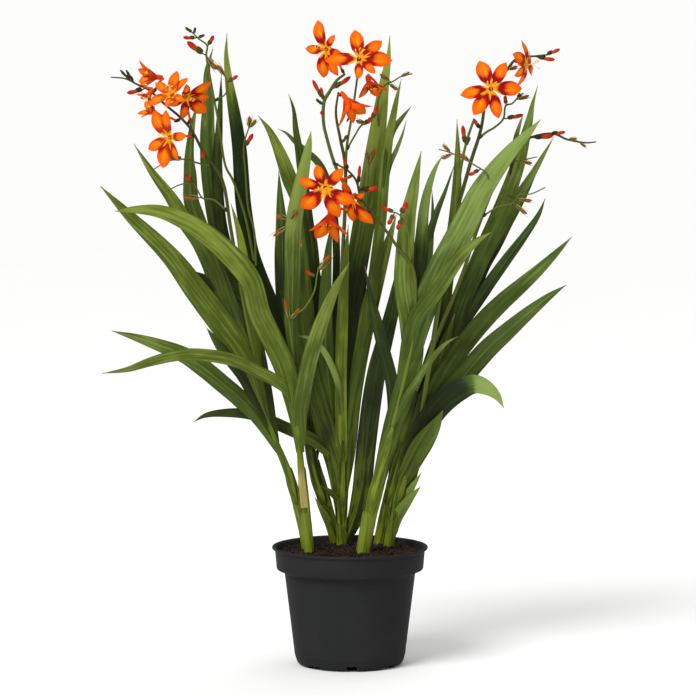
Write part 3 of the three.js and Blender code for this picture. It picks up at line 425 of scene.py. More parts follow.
def tepal_material():
    material, tree = principled("tepal_orange", 0.55, 0.04)
    streak, veins = tissue(tree, 7)
    reach = attribute(tree, "reach")
    rim = attribute(tree, "rim")
    tone = attribute(tree, "tone")
    inner = attribute(tree, "side")
    amber = times(tree, spread(tree, rim, 0.05, 0.85, 1.0, 0.0), spread(tree, reach, 1.0, 0.5))
    amber = times(tree, amber, spread(tree, streak, 0.1, 0.9, 0.3, 1.0))
    colour = mixed(tree, times(tree, amber, 0.9), TEPAL_ORANGE, TEPAL_AMBER)
    colour = mixed(tree, times(tree, spread(tree, rim, 0.78, 1.0), 0.75), colour, TEPAL_RED)
    wander = maths(tree, "MULTIPLY_ADD", streak, 0.14, reach)
    edge = maths(tree, "ADD", wander, times(tree, spread(tree, rim, 0.2, 1.0), -0.16))
    flush = times(tree, spread(tree, edge, 0.38, 0.62, 1.0, 0.0), tone)
    colour = mixed(tree, times(tree, flush, 0.95), colour, TEPAL_RED)
    band = times(tree, spread(tree, edge, 0.36, 0.48, 1.0, 0.0), tone)
    colour = mixed(tree, times(tree, band, inner), colour, TEPAL_MAHOGANY)
    throat = times(tree, spread(tree, edge, 0.12, 0.22, 1.0, 0.0), inner)
    colour = mixed(tree, throat, colour, THROAT_YELLOW)
    back = times(tree, spread(tree, inner, 0.4, 0.6, 1.0, 0.0), 0.6)
    colour = mixed(tree, back, colour, TEPAL_RED)
    colour = mixed(tree, times(tree, veins, 0.12), colour, TEPAL_RED)
    return dressed(material, colour, veins, FINE_RELIEF)


TEPAL = tepal_material()

POLLEN = ((0.72, 0.30, 0.02), (0.98, 0.62, 0.08))
FILAMENT = (0.93, 0.36, 0.03)


def stamen_material():
    material, tree = principled("stamen_yellow", 0.6, 0.3)
    grain = noise(tree, object_place(tree), 2500, 2)
    anther = spread(tree, attribute(tree, "reach"), 0.0, 0.5)
    colour = mixed(tree, anther, FILAMENT, mixed(tree, grain, *POLLEN))
    return dressed(material, colour, grain, FINE_RELIEF)


STAMEN = stamen_material()

# %% [markdown]
# The pot is thin polypropylene, charcoal black and matt, with the faint orange-peel of a blow-moulded
# wall and a dusting of dry soil low down and on the rim. Peat is dark brown, crumbly and dull, with
# reddish fibres and a few pale grains.

# %% Pot and soil materials
POT_BLACK = (0.0190, 0.0195, 0.0200)
POT_DUST = (0.036, 0.034, 0.030)
PEAT = ((0.005, 0.004, 0.003), (0.034, 0.019, 0.012))
PEAT_FIBRE = (0.120, 0.042, 0.018)
PEAT_GRAIN = (0.30, 0.27, 0.24)
CLOD_RELIEF = 2 * MM


def pot_material():
    material, tree = principled("pot_plastic", 0.55, 0.02)
    place = object_place(tree)
    peel = noise(tree, place, 900, 3)
    cloud = noise(tree, place, 14, 4, 0.6)
    specks = spread(tree, noise(tree, place, 420, 2), 0.66, 0.74)
    dusty = times(tree, spread(tree, cloud, 0.45, 0.8), 0.35)
    dusty = maths(tree, "ADD", dusty, times(tree, specks, 0.12), clamp=True)
    roughness = spread(tree, cloud, 0.3, 0.8, 0.5, 0.62)
    return dressed(material, mixed(tree, dusty, POT_BLACK, POT_DUST), peel, FINE_RELIEF, 0.5, roughness)


def soil_material():
    material, tree = principled("peat", 0.95, 0.15)
    place = object_place(tree)
    clod = noise(tree, place, 130, 5, 0.65)
    fibre = noise(tree, stretched(tree, place, (1, 4, 2)), 420, 3)
    pale = spread(tree, noise(tree, place, 330, 2), 0.70, 0.76)
    rusty = spread(tree, noise(tree, place, 28, 2), 0.42, 0.62, 0.1, 0.9)
    colour = mixed(tree, spread(tree, clod, 0.35, 0.7), *PEAT)
    colour = mixed(tree, times(tree, spread(tree, fibre, 0.5, 0.68), rusty), colour, PEAT_FIBRE)
    colour = mixed(tree, times(tree, pale, 0.5), colour, PEAT_GRAIN)
    return dressed(material, colour, clod, CLOD_RELIEF)


POT = pot_material()
SOIL = soil_material()

# %% [markdown]
# Leaves and stems are written as (x, z) in millimetres, the way they line up from the front against the
# upright plane through the pot. A depth then sets them before (negative) or behind that plane, and the
# point is moved out from the eye so that it still lines up. Their centre lines are Catmull-Rom curves,
# which pass through every point. These are the CAD's own points and rules, so each fine piece lies
# where its solid does.

# %% Places and curves
VIEW_DISTANCE = 5000
VIEW_HEIGHT = 886.5
SIGHT_ZERO = -3
FORWARD = np.array([0.0, -1.0, 0.0])
UPWARD = np.array([0.0, 0.0, 1.0])


def placed(x, z, depth):
    wider = 1 + depth / VIEW_DISTANCE
    return np.array([x * wider, depth, SIGHT_ZERO + VIEW_HEIGHT - (VIEW_HEIGHT - z) * wider]) * MM


def unit(vectors):
    return vectors / np.linalg.norm(vectors, axis=-1, keepdims=True)


def smooth_line(points, shares):
    """Places along a centripetal Catmull-Rom curve at shares 0 to 1 of its stretches."""
    points = np.asarray(points, float)
    last = len(points) - 1
    place = np.clip(np.asarray(shares, float), 0, 1) * last
    k = np.minimum(place.astype(int), last - 1)
    w = (place - k)[:, None]
    ends = np.vstack([2 * points[0] - points[1], points, 2 * points[-1] - points[-2]])
    p0, p1, p2, p3 = (ends[k + i] for i in range(4))
    d0, d1, d2 = (np.linalg.norm(b - a, axis=1)[:, None] ** 0.5 for a, b in ((p0, p1), (p1, p2), (p2, p3)))
    m1 = ((p1 - p0) / d0 - (p2 - p0) / (d0 + d1) + (p2 - p1) / d1) * d1
    m2 = ((p2 - p1) / d1 - (p3 - p1) / (d1 + d2) + (p3 - p2) / d2) * d1
    return p1 + m1 * w + (3 * (p2 - p1) - 2 * m1 - m2) * w**2 + (2 * (p1 - p2) + m1 + m2) * w**3


def line_tangents(points, shares):
    step = 1e-3
    return unit(smooth_line(points, shares + step) - smooth_line(points, shares - step))


def cross_frames(tangents, turn):
    """Across and out of the face of a growing line, the face turned by degrees from looking forward."""
    face = unit(FORWARD - tangents * (tangents @ FORWARD)[:, None])
    across = np.cross(face, tangents)
    angle = np.radians(turn)[:, None]
    return across * np.cos(angle) + face * np.sin(angle), face * np.cos(angle) - across * np.sin(angle)


def swept(points, share, wide, deep, turn=np.zeros_like):
    """Places about a curve, so far across it and so far out of its face, and their length along it."""
    rows, back = np.unique(np.round(share, 6), return_inverse=True)
    centre = smooth_line(points, rows)
    across, face = cross_frames(line_tangents(points, rows), turn(rows))
    length = np.concatenate([[0], np.cumsum(np.linalg.norm(np.diff(centre, axis=0), axis=1))])
    return centre[back] + across[back] * wide[:, None] + face[back] * deep[:, None], length[back]


def smoothstep(value, low, high):
    share = np.clip((value - low) / (high - low), 0, 1)
    return share * share * (3 - 2 * share)


def evenly(share, values):
    """Reads between given values that stand at even distances from 0 to 1."""
    return np.interp(share, np.linspace(0, 1, len(values)), values)


def nearest_on(line, point):
    """The place on a fine line that lies nearest, seen from the front, to a point (x, z)."""
    aims = np.array([placed(*point, p[1] / MM) for p in line])
    k = int(np.argmin(np.linalg.norm(line - aims, axis=1)))
    along = unit(line[min(k + 1, len(line) - 1)] - line[max(k - 1, 0)])
    return line[k], along, k / (len(line) - 1)


# %% [markdown]
# Two shapes repeat hundreds of times on this plant, a flat blade and a round rod, so each is modelled
# once as a straight master and every leaf, tepal, bract, stem and bud is a copy of it that is laid along
# its own line. The blade is a grid with a wall put on by Solidify, so that it has two skins joined
# round the rim. The rod is a disc that is extruded upward ring by ring. Bending the copies with lattices
# or curve modifiers would work too, but a formula keeps the width and twist of each exactly as the CAD has
# them.

# %% Masters
def only(piece):
    bpy.ops.object.select_all(action="DESELECT")
    piece.select_set(True)
    bpy.context.view_layer.objects.active = piece


def blade_master(columns, rows):
    """Across is -1 to 1, along is 0 to 1, and the two skins lie at -1 and 1."""
    master = added(bpy.ops.mesh.primitive_grid_add, x_subdivisions=columns, y_subdivisions=rows, size=2)
    bpy.ops.object.mode_set(mode="EDIT")
    bpy.ops.mesh.select_all(action="SELECT")
    bpy.ops.transform.resize(value=(1, 0.5, 1))
    bpy.ops.transform.translate(value=(0, 0.5, 0))
    bpy.ops.object.mode_set(mode="OBJECT")
    wall = master.modifiers.new("Wall", "SOLIDIFY")
    wall.thickness = 2
    wall.offset = 0
    bpy.ops.object.modifier_apply(modifier=wall.name)
    return master


def rod_master(sides, rows):
    """A closed round rod of radius 1 that stands from 0 to 1."""
    master = added(bpy.ops.mesh.primitive_circle_add, vertices=sides, radius=1, fill_type="NGON")
    bpy.ops.object.mode_set(mode="EDIT")
    bpy.ops.mesh.select_all(action="SELECT")
    for _ in range(rows):
        bpy.ops.mesh.extrude_region_move(TRANSFORM_OT_translate={"value": (0, 0, 1 / rows)})
    bpy.ops.mesh.select_all(action="SELECT")
    bpy.ops.mesh.normals_make_consistent(inside=False)
    bpy.ops.object.mode_set(mode="OBJECT")
    return master


LEAF_BLADE = blade_master(12, 56)
TEPAL_BLADE = blade_master(10, 16)
BRACT_BLADE = blade_master(6, 6)
FOOT_ROD = rod_master(40, 36)
STEM_ROD = rod_master(10, 48)
BUD_ROD = rod_master(10, 12)
HAIR_ROD = rod_master(6, 8)
MASTERS = [LEAF_BLADE, TEPAL_BLADE, BRACT_BLADE, FOOT_ROD, STEM_ROD, BUD_ROD, HAIR_ROD]
print("faces of the masters:", [len(master.data.polygons) for master in MASTERS])


# %% [markdown]
# `laid` makes one such copy, with its vertices at the places that a shape rule worked out. The copy also
# gets its grain map in centimetres and the named values that its material reads. `rod` is the rule that
# stems, buds, feet and stamens share, and `finished` joins copies into one piece of the plant.

# %% Laying a copy along its line
CM = 100  # centimetres in a metre
BENT_GRAIN = 1.3 * CM  # grain per metre of half width, on a blade that is bent round a rod
VALUES = ("tone", "reach", "rim", "side", "papery", "spent", "cool", "height")


def coordinates(master):
    flat = np.empty(len(master.data.vertices) * 3)
    master.data.vertices.foreach_get("co", flat)
    return flat.reshape(-1, 3)


def laid(master, places, grain, values, material):
    mesh = master.data.copy()
    mesh.vertices.foreach_set("co", np.ascontiguousarray(places).ravel())
    mesh.materials.append(material)
    values = {"height": places[:, 2], **values}
    for name in VALUES:
        numbers = np.ones(len(places)) * values.get(name, 0.0)
        layer = mesh.attributes.new(name, "FLOAT", "POINT")
        layer.data.foreach_set("value", numbers.astype(np.float32))
    for old in list(mesh.uv_layers):
        mesh.uv_layers.remove(old)
    corners = np.empty(len(mesh.loops), int)
    mesh.loops.foreach_get("vertex_index", corners)
    grain = np.stack(grain, axis=1)[corners].astype(np.float32)
    mesh.uv_layers.new(name="grain").data.foreach_set("uv", grain.ravel())
    mesh.update()
    copy = bpy.data.objects.new("copy", mesh)
    bpy.context.scene.collection.objects.link(copy)
    return copy


def rod(master, points, half_width, half_depth, values, material):
    """A rod along a curve, with an oval section whose half sizes are rules of (angle, along)."""
    x, y, v = coordinates(master).T
    angle = np.arctan2(y, x)
    half = half_width(angle, v)
    places, length = swept(points, v, half * x, half_depth(angle, v) * y)
    grain = (half * (np.abs(angle) / np.pi) * 2 * CM, length * CM)
    return laid(master, places, grain, {"reach": v, **values}, material)


def finished(name, copies, node_name=None, smooth_angle=50):
    """Joins copies into one piece that rides on the root body and may stand for a CAD node."""
    only(copies[0])
    for copy in copies:
        copy.select_set(True)
    if len(copies) > 1:
        bpy.ops.object.join()
    piece = bpy.context.object
    piece.name = name
    piece.data.name = name
    bpy.ops.object.shade_smooth_by_angle(angle=math.radians(smooth_angle))
    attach(piece, "root")
    if node_name:
        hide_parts(node_name)
    print(name, len(piece.data.polygons), "faces")


# %% [markdown]
# The shoots, front view. Each has a flattened foot of wrapped sheaths, its leaves, and flower stems with
# their buds, some of which have withered. A leaf or stem whose root names an earlier one starts on that
# one's centre line. A leaf's tone values say how light it is at its base and at its tip, how cool its
# green is and, if the tone turns quickly, at which share of its length. That lightness is the blade's own
# green and painted shade in one: blades at the back and low in the fan are given darker values, as shade.
# Sizes are in millimetres, turns in degrees.

# %% Shoots
# A shoot's foot tone is the foot's green and painted shade together: the shoots at the back of the pot are
# given darker feet, as in shade.
Shoot = namedtuple("Shoot", "depth foot foot_widths foot_tone leaves stems")
Leaf = namedtuple("Leaf", "width tip_depth turn tones path opens root", defaults=(0.2, None))
Stem = namedtuple("Stem", "root tip_depth thick path buds")  # the root is a depth, or what it grows from
Bud = namedtuple("Bud", "foot tip fat spent", defaults=(False,))

SHOOTS = {
    "left_front": Shoot(
        -15, [(-50, 110), (-50, 140), (-54, 190), (-59, 240), (-64, 300), (-67, 345)],
        [10, 11, 10, 7, 3], 0.54,
        leaves=[
            Leaf(16, -100, 20, (0.56, 0.60, 0.4), [(-64, 318), (-80, 343), (-110, 361), (-140, 375),
                 (-170, 381), (-205, 382), (-240, 374), (-270, 364), (-301, 359)]),
            Leaf(28, -70, -12, (0.50, 0.70, 0.3), [(-61, 262), (-68, 314), (-80, 366), (-96, 402),
                 (-110, 432), (-122, 473), (-145, 502), (-170, 525), (-200, 544), (-231, 556), (-262, 558),
                 (-284, 556)]),
            Leaf(21, -28, 15, (0.46, 0.96, 0.6), [(-62, 330), (-70, 420), (-69, 480), (-69, 515), (-67, 545),
                 (-62, 575), (-56, 605), (-50, 635), (-47, 653)]),
            Leaf(20, -75, 15, (0.48, 0.72, 0.5), [(-57, 270), (-60, 310), (-56, 340), (-50, 370), (-40, 405),
                 (-27, 440), (-14, 470), (-1, 494)]),
        ],
        stems=[
            Stem(-15, -20, [3, 2, 1.6], [(-66, 340), (-72, 412), (-74, 430), (-74, 490), (-72, 530),
                 (-74, 548)], [
                Bud((-74, 547), (-89, 551), 5, spent=True), Bud((-73, 545), (-64, 557), 5, spent=True),
                Bud((-73, 420), (-79, 452), 5, spent=True), Bud((-73, 424), (-61, 438), 5, spent=True),
                Bud((-74, 540), (-93, 526), 4.5, spent=True),
            ]),
            Stem(("stems", 0), -34, [2.2, 1.6], [(-74, 428), (-56, 438), (-43, 460), (-40, 478),
                 (-38, 488)], [
                Bud((-40, 482), (-24, 503), 7, spent=True), Bud((-40, 476), (-54, 484), 4.5),
            ]),
        ],
    ),
    "left": Shoot(
        6, [(-53, 110), (-53, 140), (-64, 200), (-76, 240), (-88, 270), (-101, 306)],
        [9, 10, 11, 9, 3], 0.50,
        leaves=[
            Leaf(30, 2, 6, (0.50, 0.56, 0.3), [(-92, 280), (-112, 335), (-128, 381), (-153, 416),
                 (-186, 460), (-216, 500), (-266, 550), (-302, 587)]),
            Leaf(23, 30, -8, (0.30, 0.58, 0.3), [(-97, 296), (-116, 350), (-134, 400), (-152, 440),
                 (-168, 490), (-182, 520), (-200, 545), (-216, 572), (-240, 605), (-261, 638)]),
            Leaf(22, -30, 12, (0.42, 0.62, 0.6), [(-86, 264), (-115, 310), (-135, 330), (-155, 347),
                 (-178, 366), (-200, 381), (-230, 393), (-260, 403), (-289, 411)]),
            Leaf(23, 20, 0, (0.14, 0.24, 0.3), [(-90, 274), (-106, 340), (-118, 398), (-136, 438),
                 (-161, 463), (-190, 478), (-214, 486)]),
            Leaf(14, -14, 10, (0.20, 0.36, 0.5), [(-96, 292), (-130, 355), (-145, 375), (-160, 395),
                 (-174, 415)]),
            Leaf(20, 46, 0, (0.30, 0.58, 0.6), [(-96, 292), (-122, 370), (-145, 440), (-160, 480),
                 (-175, 520), (-186, 550), (-192, 570), (-193, 600), (-194, 620), (-190, 660), (-183, 690)]),
            Leaf(13, 14, 10, (0.38, 0.78, 0.1), [(-96, 292), (-112, 380), (-121, 440), (-127, 490),
                 (-134, 530), (-144, 566)]),
        ],
        stems=[
            Stem(10, -6, [5, 4.4, 3.4, 2.8, 1.6], [(-98, 298), (-120, 400), (-135, 480), (-145, 540),
                 (-155, 596), (-175, 624), (-191, 654), (-204, 669), (-223, 685), (-243, 703), (-258, 710),
                 (-270, 716), (-288, 718)], [
                Bud((-246, 704), (-269, 699), 6), Bud((-262, 712), (-277, 727), 3.5),
                Bud((-259, 711), (-270, 727), 3.5),
            ]),
            Stem(("stems", 0), -12, [2.6, 2, 1.4], [(-165, 610), (-182, 614), (-200, 619), (-219, 617),
                 (-240, 605)], [
                Bud((-200, 619), (-220, 623), 6, spent=True), Bud((-180, 614), (-176, 629), 4.5),
            ]),
            Stem(("stems", 0), -10, [2.6, 2, 1.4], [(-149, 556), (-165, 570), (-178, 572), (-190, 590),
                 (-206, 588), (-222, 580)], [
                Bud((-188, 588), (-199, 601), 5.5), Bud((-180, 572), (-201, 573), 5.5, spent=True),
            ]),
        ],
    ),
    "left_back": Shoot(
        56, [(-16, 110), (-15, 140), (-30, 200), (-45, 250), (-52, 290), (-62, 335)],
        [10, 13, 16, 13, 4], 0.30,
        leaves=[
            Leaf(20, 66, 16, (0.14, 0.76, 0.3, 0.76), [(-58, 320), (-70, 380), (-85, 420), (-110, 480),
                 (-120, 510), (-125, 540), (-129, 570), (-131, 600), (-133, 630), (-137, 660), (-142, 690),
                 (-146, 715), (-149, 745), (-148, 771)]),
            Leaf(15, 84, 10, (0.12, 0.40, 0.5), [(-58, 320), (-90, 410), (-115, 450), (-138, 490),
                 (-150, 515), (-157, 550), (-160, 615), (-158, 650), (-156, 690), (-155, 722)]),
            Leaf(23, 104, 0, (0.32, 0.56, 0.7), [(-58, 320), (-92, 400), (-124, 448), (-148, 490),
                 (-158, 530), (-165, 570), (-170, 610), (-172, 650), (-171, 690), (-172, 725), (-165, 753)]),
            Leaf(21, 90, -10, (0.36, 0.64, 0.2), [(-49, 270), (-46, 340), (-44, 400), (-45, 460), (-50, 520),
                 (-62, 570), (-73, 595), (-80, 615), (-88, 635), (-98, 655), (-111, 672)]),
            Leaf(19, 76, 8, (0.14, 0.46, 0.4), [(-55, 305), (-72, 390), (-80, 450), (-82, 500), (-82, 530),
                 (-84, 565), (-86, 605)]),
            Leaf(14, 66, 30, (0.16, 0.48, 0.0), [(-46, 256), (-38, 340), (-36, 420), (-44, 500), (-52, 560),
                 (-58, 610), (-61, 630), (-65, 655), (-68, 680), (-74, 698)]),
            Leaf(10, 112, 20, (0.20, 0.52, 0.4), [(-42, 244), (-28, 330), (-20, 420), (-16, 500), (-20, 560),
                 (-30, 600), (-39, 616), (-54, 630), (-66, 640), (-76, 650), (-87, 656)]),
            Leaf(10, 42, 0, (0.62, 0.74, 0.7), [(-15, 150), (-22, 168), (-31, 186), (-43, 208)]),
        ],
        stems=[
            Stem(("leaves", 0), 44, [3.6, 3, 2.6, 1.6], [(-116, 496), (-128, 555), (-142, 595), (-150, 610),
                 (-158, 660), (-168, 715), (-173, 745), (-172, 756), (-182, 764), (-190, 772)], [
                Bud((-174, 744), (-196, 761), 8), Bud((-172, 755), (-164, 768), 5.5),
                Bud((-184, 765), (-201, 766), 5), Bud((-184, 765), (-175, 769), 4),
                Bud((-189, 771), (-198, 778), 4), Bud((-188, 770), (-186, 778), 3.5),
                Bud((-173, 744), (-160, 727), 6, spent=True),
            ]),
            Stem(("stems", 0), 44, [2, 1.6], [(-161, 690), (-150, 698), (-148, 712), (-152, 722)], [
                Bud((-148, 712), (-135, 720), 5), Bud((-151, 719), (-160, 733), 5, spent=True),
            ]),
            Stem(("leaves", 0), 40, [3, 2.4, 1.8], [(-114, 490), (-116, 533), (-123, 560), (-126, 600),
                 (-128, 636), (-121, 660)], [
                Bud((-126, 632), (-117, 650), 6), Bud((-122, 656), (-121, 671), 5, spent=True),
                Bud((-122, 656), (-113, 667), 4.5, spent=True),
            ]),
        ],
    ),
    "centre": Shoot(
        32, [(-10, 110), (-10, 140), (-10, 200), (-10, 250), (-9, 300)],
        [10, 11, 13, 10, 3], 0.36,
        leaves=[
            Leaf(27, 62, 0, (0.10, 0.92, 0.4), [(-9, 260), (-10, 300), (-7, 380), (-3, 420), (3, 460),
                 (10, 500), (15, 530), (20, 560), (25, 590), (29, 620), (33, 650), (37, 680), (41, 710),
                 (46, 740), (48, 768)]),
            Leaf(22, 84, 8, (0.12, 0.30, 0.6), [(-7, 230), (-2, 300), (2, 360), (8, 412), (12, 490),
                 (22, 555), (32, 600)]),
            Leaf(24, 18, -8, (0.08, 0.28, 0.7), [(-6, 150), (3, 172), (11, 196), (15, 220), (18, 254),
                 (22, 290), (27, 330), (33, 365), (42, 400), (52, 440), (58, 470), (65, 500), (73, 540)]),
            Leaf(25, 26, -6, (0.36, 0.38, 0.3), [(-12, 160), (-13, 200), (-18, 245), (-30, 290), (-46, 350),
                 (-56, 410), (-60, 470), (-58, 522)], opens=0.4),
            Leaf(22, 36, 8, (0.44, 0.46, 0.6), [(-9, 150), (-9, 190), (-11, 240), (-20, 300), (-28, 370),
                 (-30, 440), (-27, 500), (-21, 548)], opens=0.4),
            Leaf(15, 24, 8, (0.34, 0.36, 0.5), [(-10, 232), (-22, 258), (-45, 278), (-70, 289), (-95, 300),
                 (-120, 309), (-150, 311), (-175, 308), (-190, 300)]),
            Leaf(14, 36, 10, (0.40, 0.74, 0.4), [(-7, 250), (5, 330), (18, 400), (28, 470), (38, 550),
                 (40, 580), (43, 615), (47, 645), (52, 670), (57, 695), (62, 716)]),
            Leaf(8, 44, 10, (0.38, 0.66, 0.5), [(16, 390), (28, 440), (33, 480), (37, 520), (40, 570),
                 (47, 610), (56, 630), (63, 648), (68, 666)]),
            Leaf(8, 60, 20, (0.46, 0.64, 0.5), [(40, 585), (48, 640), (53, 655), (62, 668), (74, 683)]),
            Leaf(22, 44, -4, (0.38, 0.66, 0.4), [(-9, 200), (-4, 260), (3, 330), (13, 390), (24, 440),
                 (35, 480), (47, 521), (56, 552)]),
            Leaf(15, 16, 4, (0.62, 0.48, 0.0), [(-10, 190), (-10, 260), (-11, 330), (-10, 400), (-8, 450),
                 (-5, 500), (-2, 540)]),
            Leaf(8, 20, 0, (0.16, 0.20, 0.5), [(-11, 196), (-16, 206), (-24, 214), (-36, 222)]),
            Leaf(8, -2, 12, (0.50, 0.96, 0.7), [(-9, 262), (-11, 320), (-16, 352), (-33, 388), (-50, 402),
                 (-63, 405)]),
        ],
        stems=[
            Stem(34, 4, [6, 5, 4, 2.4], [(-9, 290), (-10, 400), (-9, 500), (-6, 560), (-6, 614), (-12, 645),
                 (-17, 675), (-14, 700)], []),
            Stem(("stems", 0), 0, [4.5, 4, 4.5, 3], [(-8, 585), (-18, 612), (-28, 645), (-32, 664),
                 (-31, 689), (-25, 700), (-16, 714), (-6, 722)], [
                Bud((-30, 689), (-45, 715), 5.5), Bud((-30, 687), (-35, 706), 4.5),
                Bud((-30, 684), (-41, 692), 4), Bud((-22, 676), (-35, 675), 5), Bud((-24, 703), (1, 719), 6),
            ]),
            Stem(("stems", 0), 2, [3.5, 3, 2.6], [(-6, 600), (-4, 633), (1, 664), (5, 690), (9, 719)], [
                Bud((-2, 650), (-10, 639), 4), Bud((3, 680), (-4, 664), 3),
            ]),
            Stem(("stems", 2), 8, [2.4, 2], [(-4, 630), (6, 648), (14, 660), (24, 664), (32, 683)], [
                Bud((20, 663), (7, 666), 4.5, spent=True), Bud((26, 666), (33, 683), 6),
                Bud((16, 660), (27, 670), 5),
            ]),
            Stem(("leaves", 0), 28, [2.4, 2, 1.4], [(30, 660), (34, 690), (42, 708), (52, 713), (62, 719),
                 (75, 722)], [
                Bud((50, 712), (36, 722), 4, spent=True), Bud((46, 711), (58, 703), 4, spent=True),
                Bud((60, 718), (72, 724), 3.5, spent=True),
            ]),
            Stem(("leaves", 0), 30, [2.4, 2], [(18, 556), (22, 600), (26, 628)], [
                Bud((24, 612), (30, 632), 5, spent=True), Bud((24, 610), (20, 628), 4, spent=True),
            ]),
        ],
    ),
    "right_front": Shoot(
        -25, [(15, 110), (16, 140), (25, 190), (35, 230), (45, 270), (54, 305)],
        [15, 16, 17, 13, 4], 0.56,
        leaves=[
            Leaf(32, -64, -6, (0.48, 0.80, 0.8), [(53, 298), (66, 350), (75, 380), (85, 420), (98, 460),
                 (112, 490), (128, 520), (143, 550), (158, 580), (175, 605), (195, 630), (216, 652),
                 (230, 667)], opens=0.4),
            Leaf(16, -16, 10, (0.30, 0.76, 0.7, 0.60), [(51, 290), (64, 340), (72, 380), (75, 420),
                 (80, 460), (84, 500), (87, 530), (90, 560), (95, 585), (103, 608), (112, 624)]),
            Leaf(27, -36, 0, (0.38, 0.66, 0.5), [(20, 165), (30, 205), (41, 250), (53, 296), (68, 345),
                 (76, 385), (73, 425), (66, 465), (66, 500), (70, 550), (76, 580), (81, 605),
                 (86, 629)], opens=0.35),
            Leaf(9, -70, 15, (0.50, 0.68, 0.7), [(47, 275), (60, 312), (68, 330), (80, 348), (92, 367),
                 (105, 384), (118, 397), (131, 404)]),
            Leaf(16, -12, -20, (0.20, 0.24, 0.5), [(50, 286), (53, 310), (50, 350), (40, 390), (30, 430),
                 (25, 450), (18, 490)]),
            Leaf(20, -86, 8, (0.42, 0.68, 0.5), [(53, 300), (66, 360), (79, 424), (94, 446), (109, 466),
                 (125, 490), (139, 507), (155, 521), (171, 531)]),
        ],
        stems=[
            Stem(-27, -44, [5, 4.4, 3.6, 3, 2], [(52, 296), (66, 350), (76, 400), (80, 450), (75, 490),
                 (60, 509), (47, 528), (34, 545), (23, 560), (13, 572), (8, 592), (0, 603), (-10, 610),
                 (-21, 614)], [
                Bud((-2, 605), (-7, 620), 4.5), Bud((11, 580), (17, 586), 3), Bud((14, 583), (35, 584), 6.5),
                Bud((12, 586), (12, 612), 4.5), Bud((-12, 610), (-21, 616), 3),
            ]),
            Stem(("stems", 0), -52, [2.4, 2, 1.6], [(74, 492), (72, 515), (68, 540), (58, 553), (48, 556)], [
                Bud((56, 554), (37, 562), 5), Bud((60, 551), (69, 567), 7), Bud((54, 554), (46, 540), 6),
                Bud((63, 548), (57, 534), 6),
            ]),
            Stem(("leaves", 0), -56, [2, 1.8, 1.4], [(169, 594), (164, 603), (152, 611), (135, 621),
                 (118, 628), (107, 631)], [
                Bud((158, 607), (143, 600), 5), Bud((146, 615), (133, 626), 4.5, spent=True),
                Bud((124, 625), (110, 620), 4, spent=True), Bud((122, 626), (112, 637), 3.5, spent=True),
            ]),
        ],
    ),
    "right": Shoot(
        26, [(46, 110), (46, 140), (54, 180), (64, 225), (76, 265), (88, 298)],
        [10, 11, 13, 10, 3], 0.50,
        leaves=[
            Leaf(28, -10, 0, (0.16, 0.98, 1.0, 0.66), [(60, 212), (75, 262), (88, 290), (100, 308),
                 (115, 325), (132, 338), (150, 346), (165, 342), (178, 332), (187, 317)]),
            Leaf(27, 8, 8, (0.34, 0.56, 0.6), [(50, 162), (60, 214), (64, 228), (72, 243), (83, 264),
                 (92, 278), (100, 290), (107, 302), (113, 314)], opens=0.6),
            Leaf(25, 10, -6, (0.34, 0.50, 0.6), [(80, 276), (100, 308), (118, 332), (135, 352), (150, 370),
                 (168, 390), (190, 410), (215, 432), (240, 452), (262, 467)]),
            Leaf(23, 36, 6, (0.36, 0.56, 0.5), [(82, 282), (95, 314), (110, 350), (125, 375), (143, 400),
                 (163, 424), (186, 447), (210, 468), (232, 488), (252, 508), (268, 525)]),
            Leaf(26, 36, -6, (0.22, 0.44, 0.4), [(54, 180), (68, 232), (83, 285), (98, 335), (112, 385),
                 (127, 432)]),
            Leaf(14, 12, 0, (0.72, 0.76, 0.8), [(47, 150), (56, 180), (69, 201), (86, 221)]),
            Leaf(11, 22, 0, (0.66, 0.74, 0.8), [(48, 156), (60, 190), (72, 214), (87, 238)]),
        ],
        stems=[
            Stem(28, 14, [6, 5, 4, 3.4, 2.2], [(84, 288), (98, 380), (110, 460), (126, 545), (138, 588),
                 (148, 623), (154, 641), (159, 660), (164, 690), (176, 712), (187, 724), (199, 739),
                 (210, 743), (220, 743), (238, 745)], [
                Bud((234, 745), (253, 752), 5), Bud((222, 744), (247, 739), 5.5),
                Bud((155, 655), (149, 668), 5), Bud((190, 726), (202, 731), 4.5, spent=True),
            ]),
            Stem(("stems", 0), 6, [3, 2.4, 1.8], [(155, 644), (165, 652), (175, 658), (185, 668), (188, 684),
                 (195, 686), (203, 694), (209, 699)], [
                Bud((185, 668), (209, 673), 5.5), Bud((188, 684), (187, 696), 5),
                Bud((200, 691), (216, 696), 4.5, spent=True), Bud((202, 692), (205, 699), 3.5),
            ]),
            Stem(("stems", 0), 10, [4, 3.4, 3], [(124, 538), (130, 580), (137, 625), (143, 648),
                 (150, 668)], [
                Bud((134, 636), (136, 660), 6), Bud((139, 634), (145, 646), 4),
            ]),
        ],
    ),
    "right_back": Shoot(
        54, [(34, 110), (34, 140), (46, 200), (58, 250), (70, 300), (82, 345)],
        [12, 13, 13, 10, 3], 0.34,
        leaves=[
            Leaf(23, 64, 0, (0.20, 0.66, 0.5), [(38, 165), (52, 225), (65, 280), (82, 335), (105, 375),
                 (120, 400), (135, 445), (150, 480), (165, 515), (178, 545), (188, 570), (197, 595),
                 (205, 620), (211, 645), (216, 665), (220, 685), (226, 707)]),
            Leaf(6, 70, 0, (0.30, 0.70, 0.6), [(193, 600), (199, 640), (203, 655),
                 (209, 674)], root=("leaves", 0)),
            Leaf(14, 88, 6, (0.24, 0.74, 0.6), [(80, 338), (112, 400), (130, 435), (146, 460), (162, 495),
                 (178, 525), (194, 555), (207, 580), (221, 602), (234, 625), (246, 646)]),
            Leaf(14, 108, 0, (0.12, 0.46, 0.4), [(74, 318), (122, 412), (150, 460), (163, 490), (177, 515),
                 (190, 540), (203, 562), (215, 583), (224, 599)]),
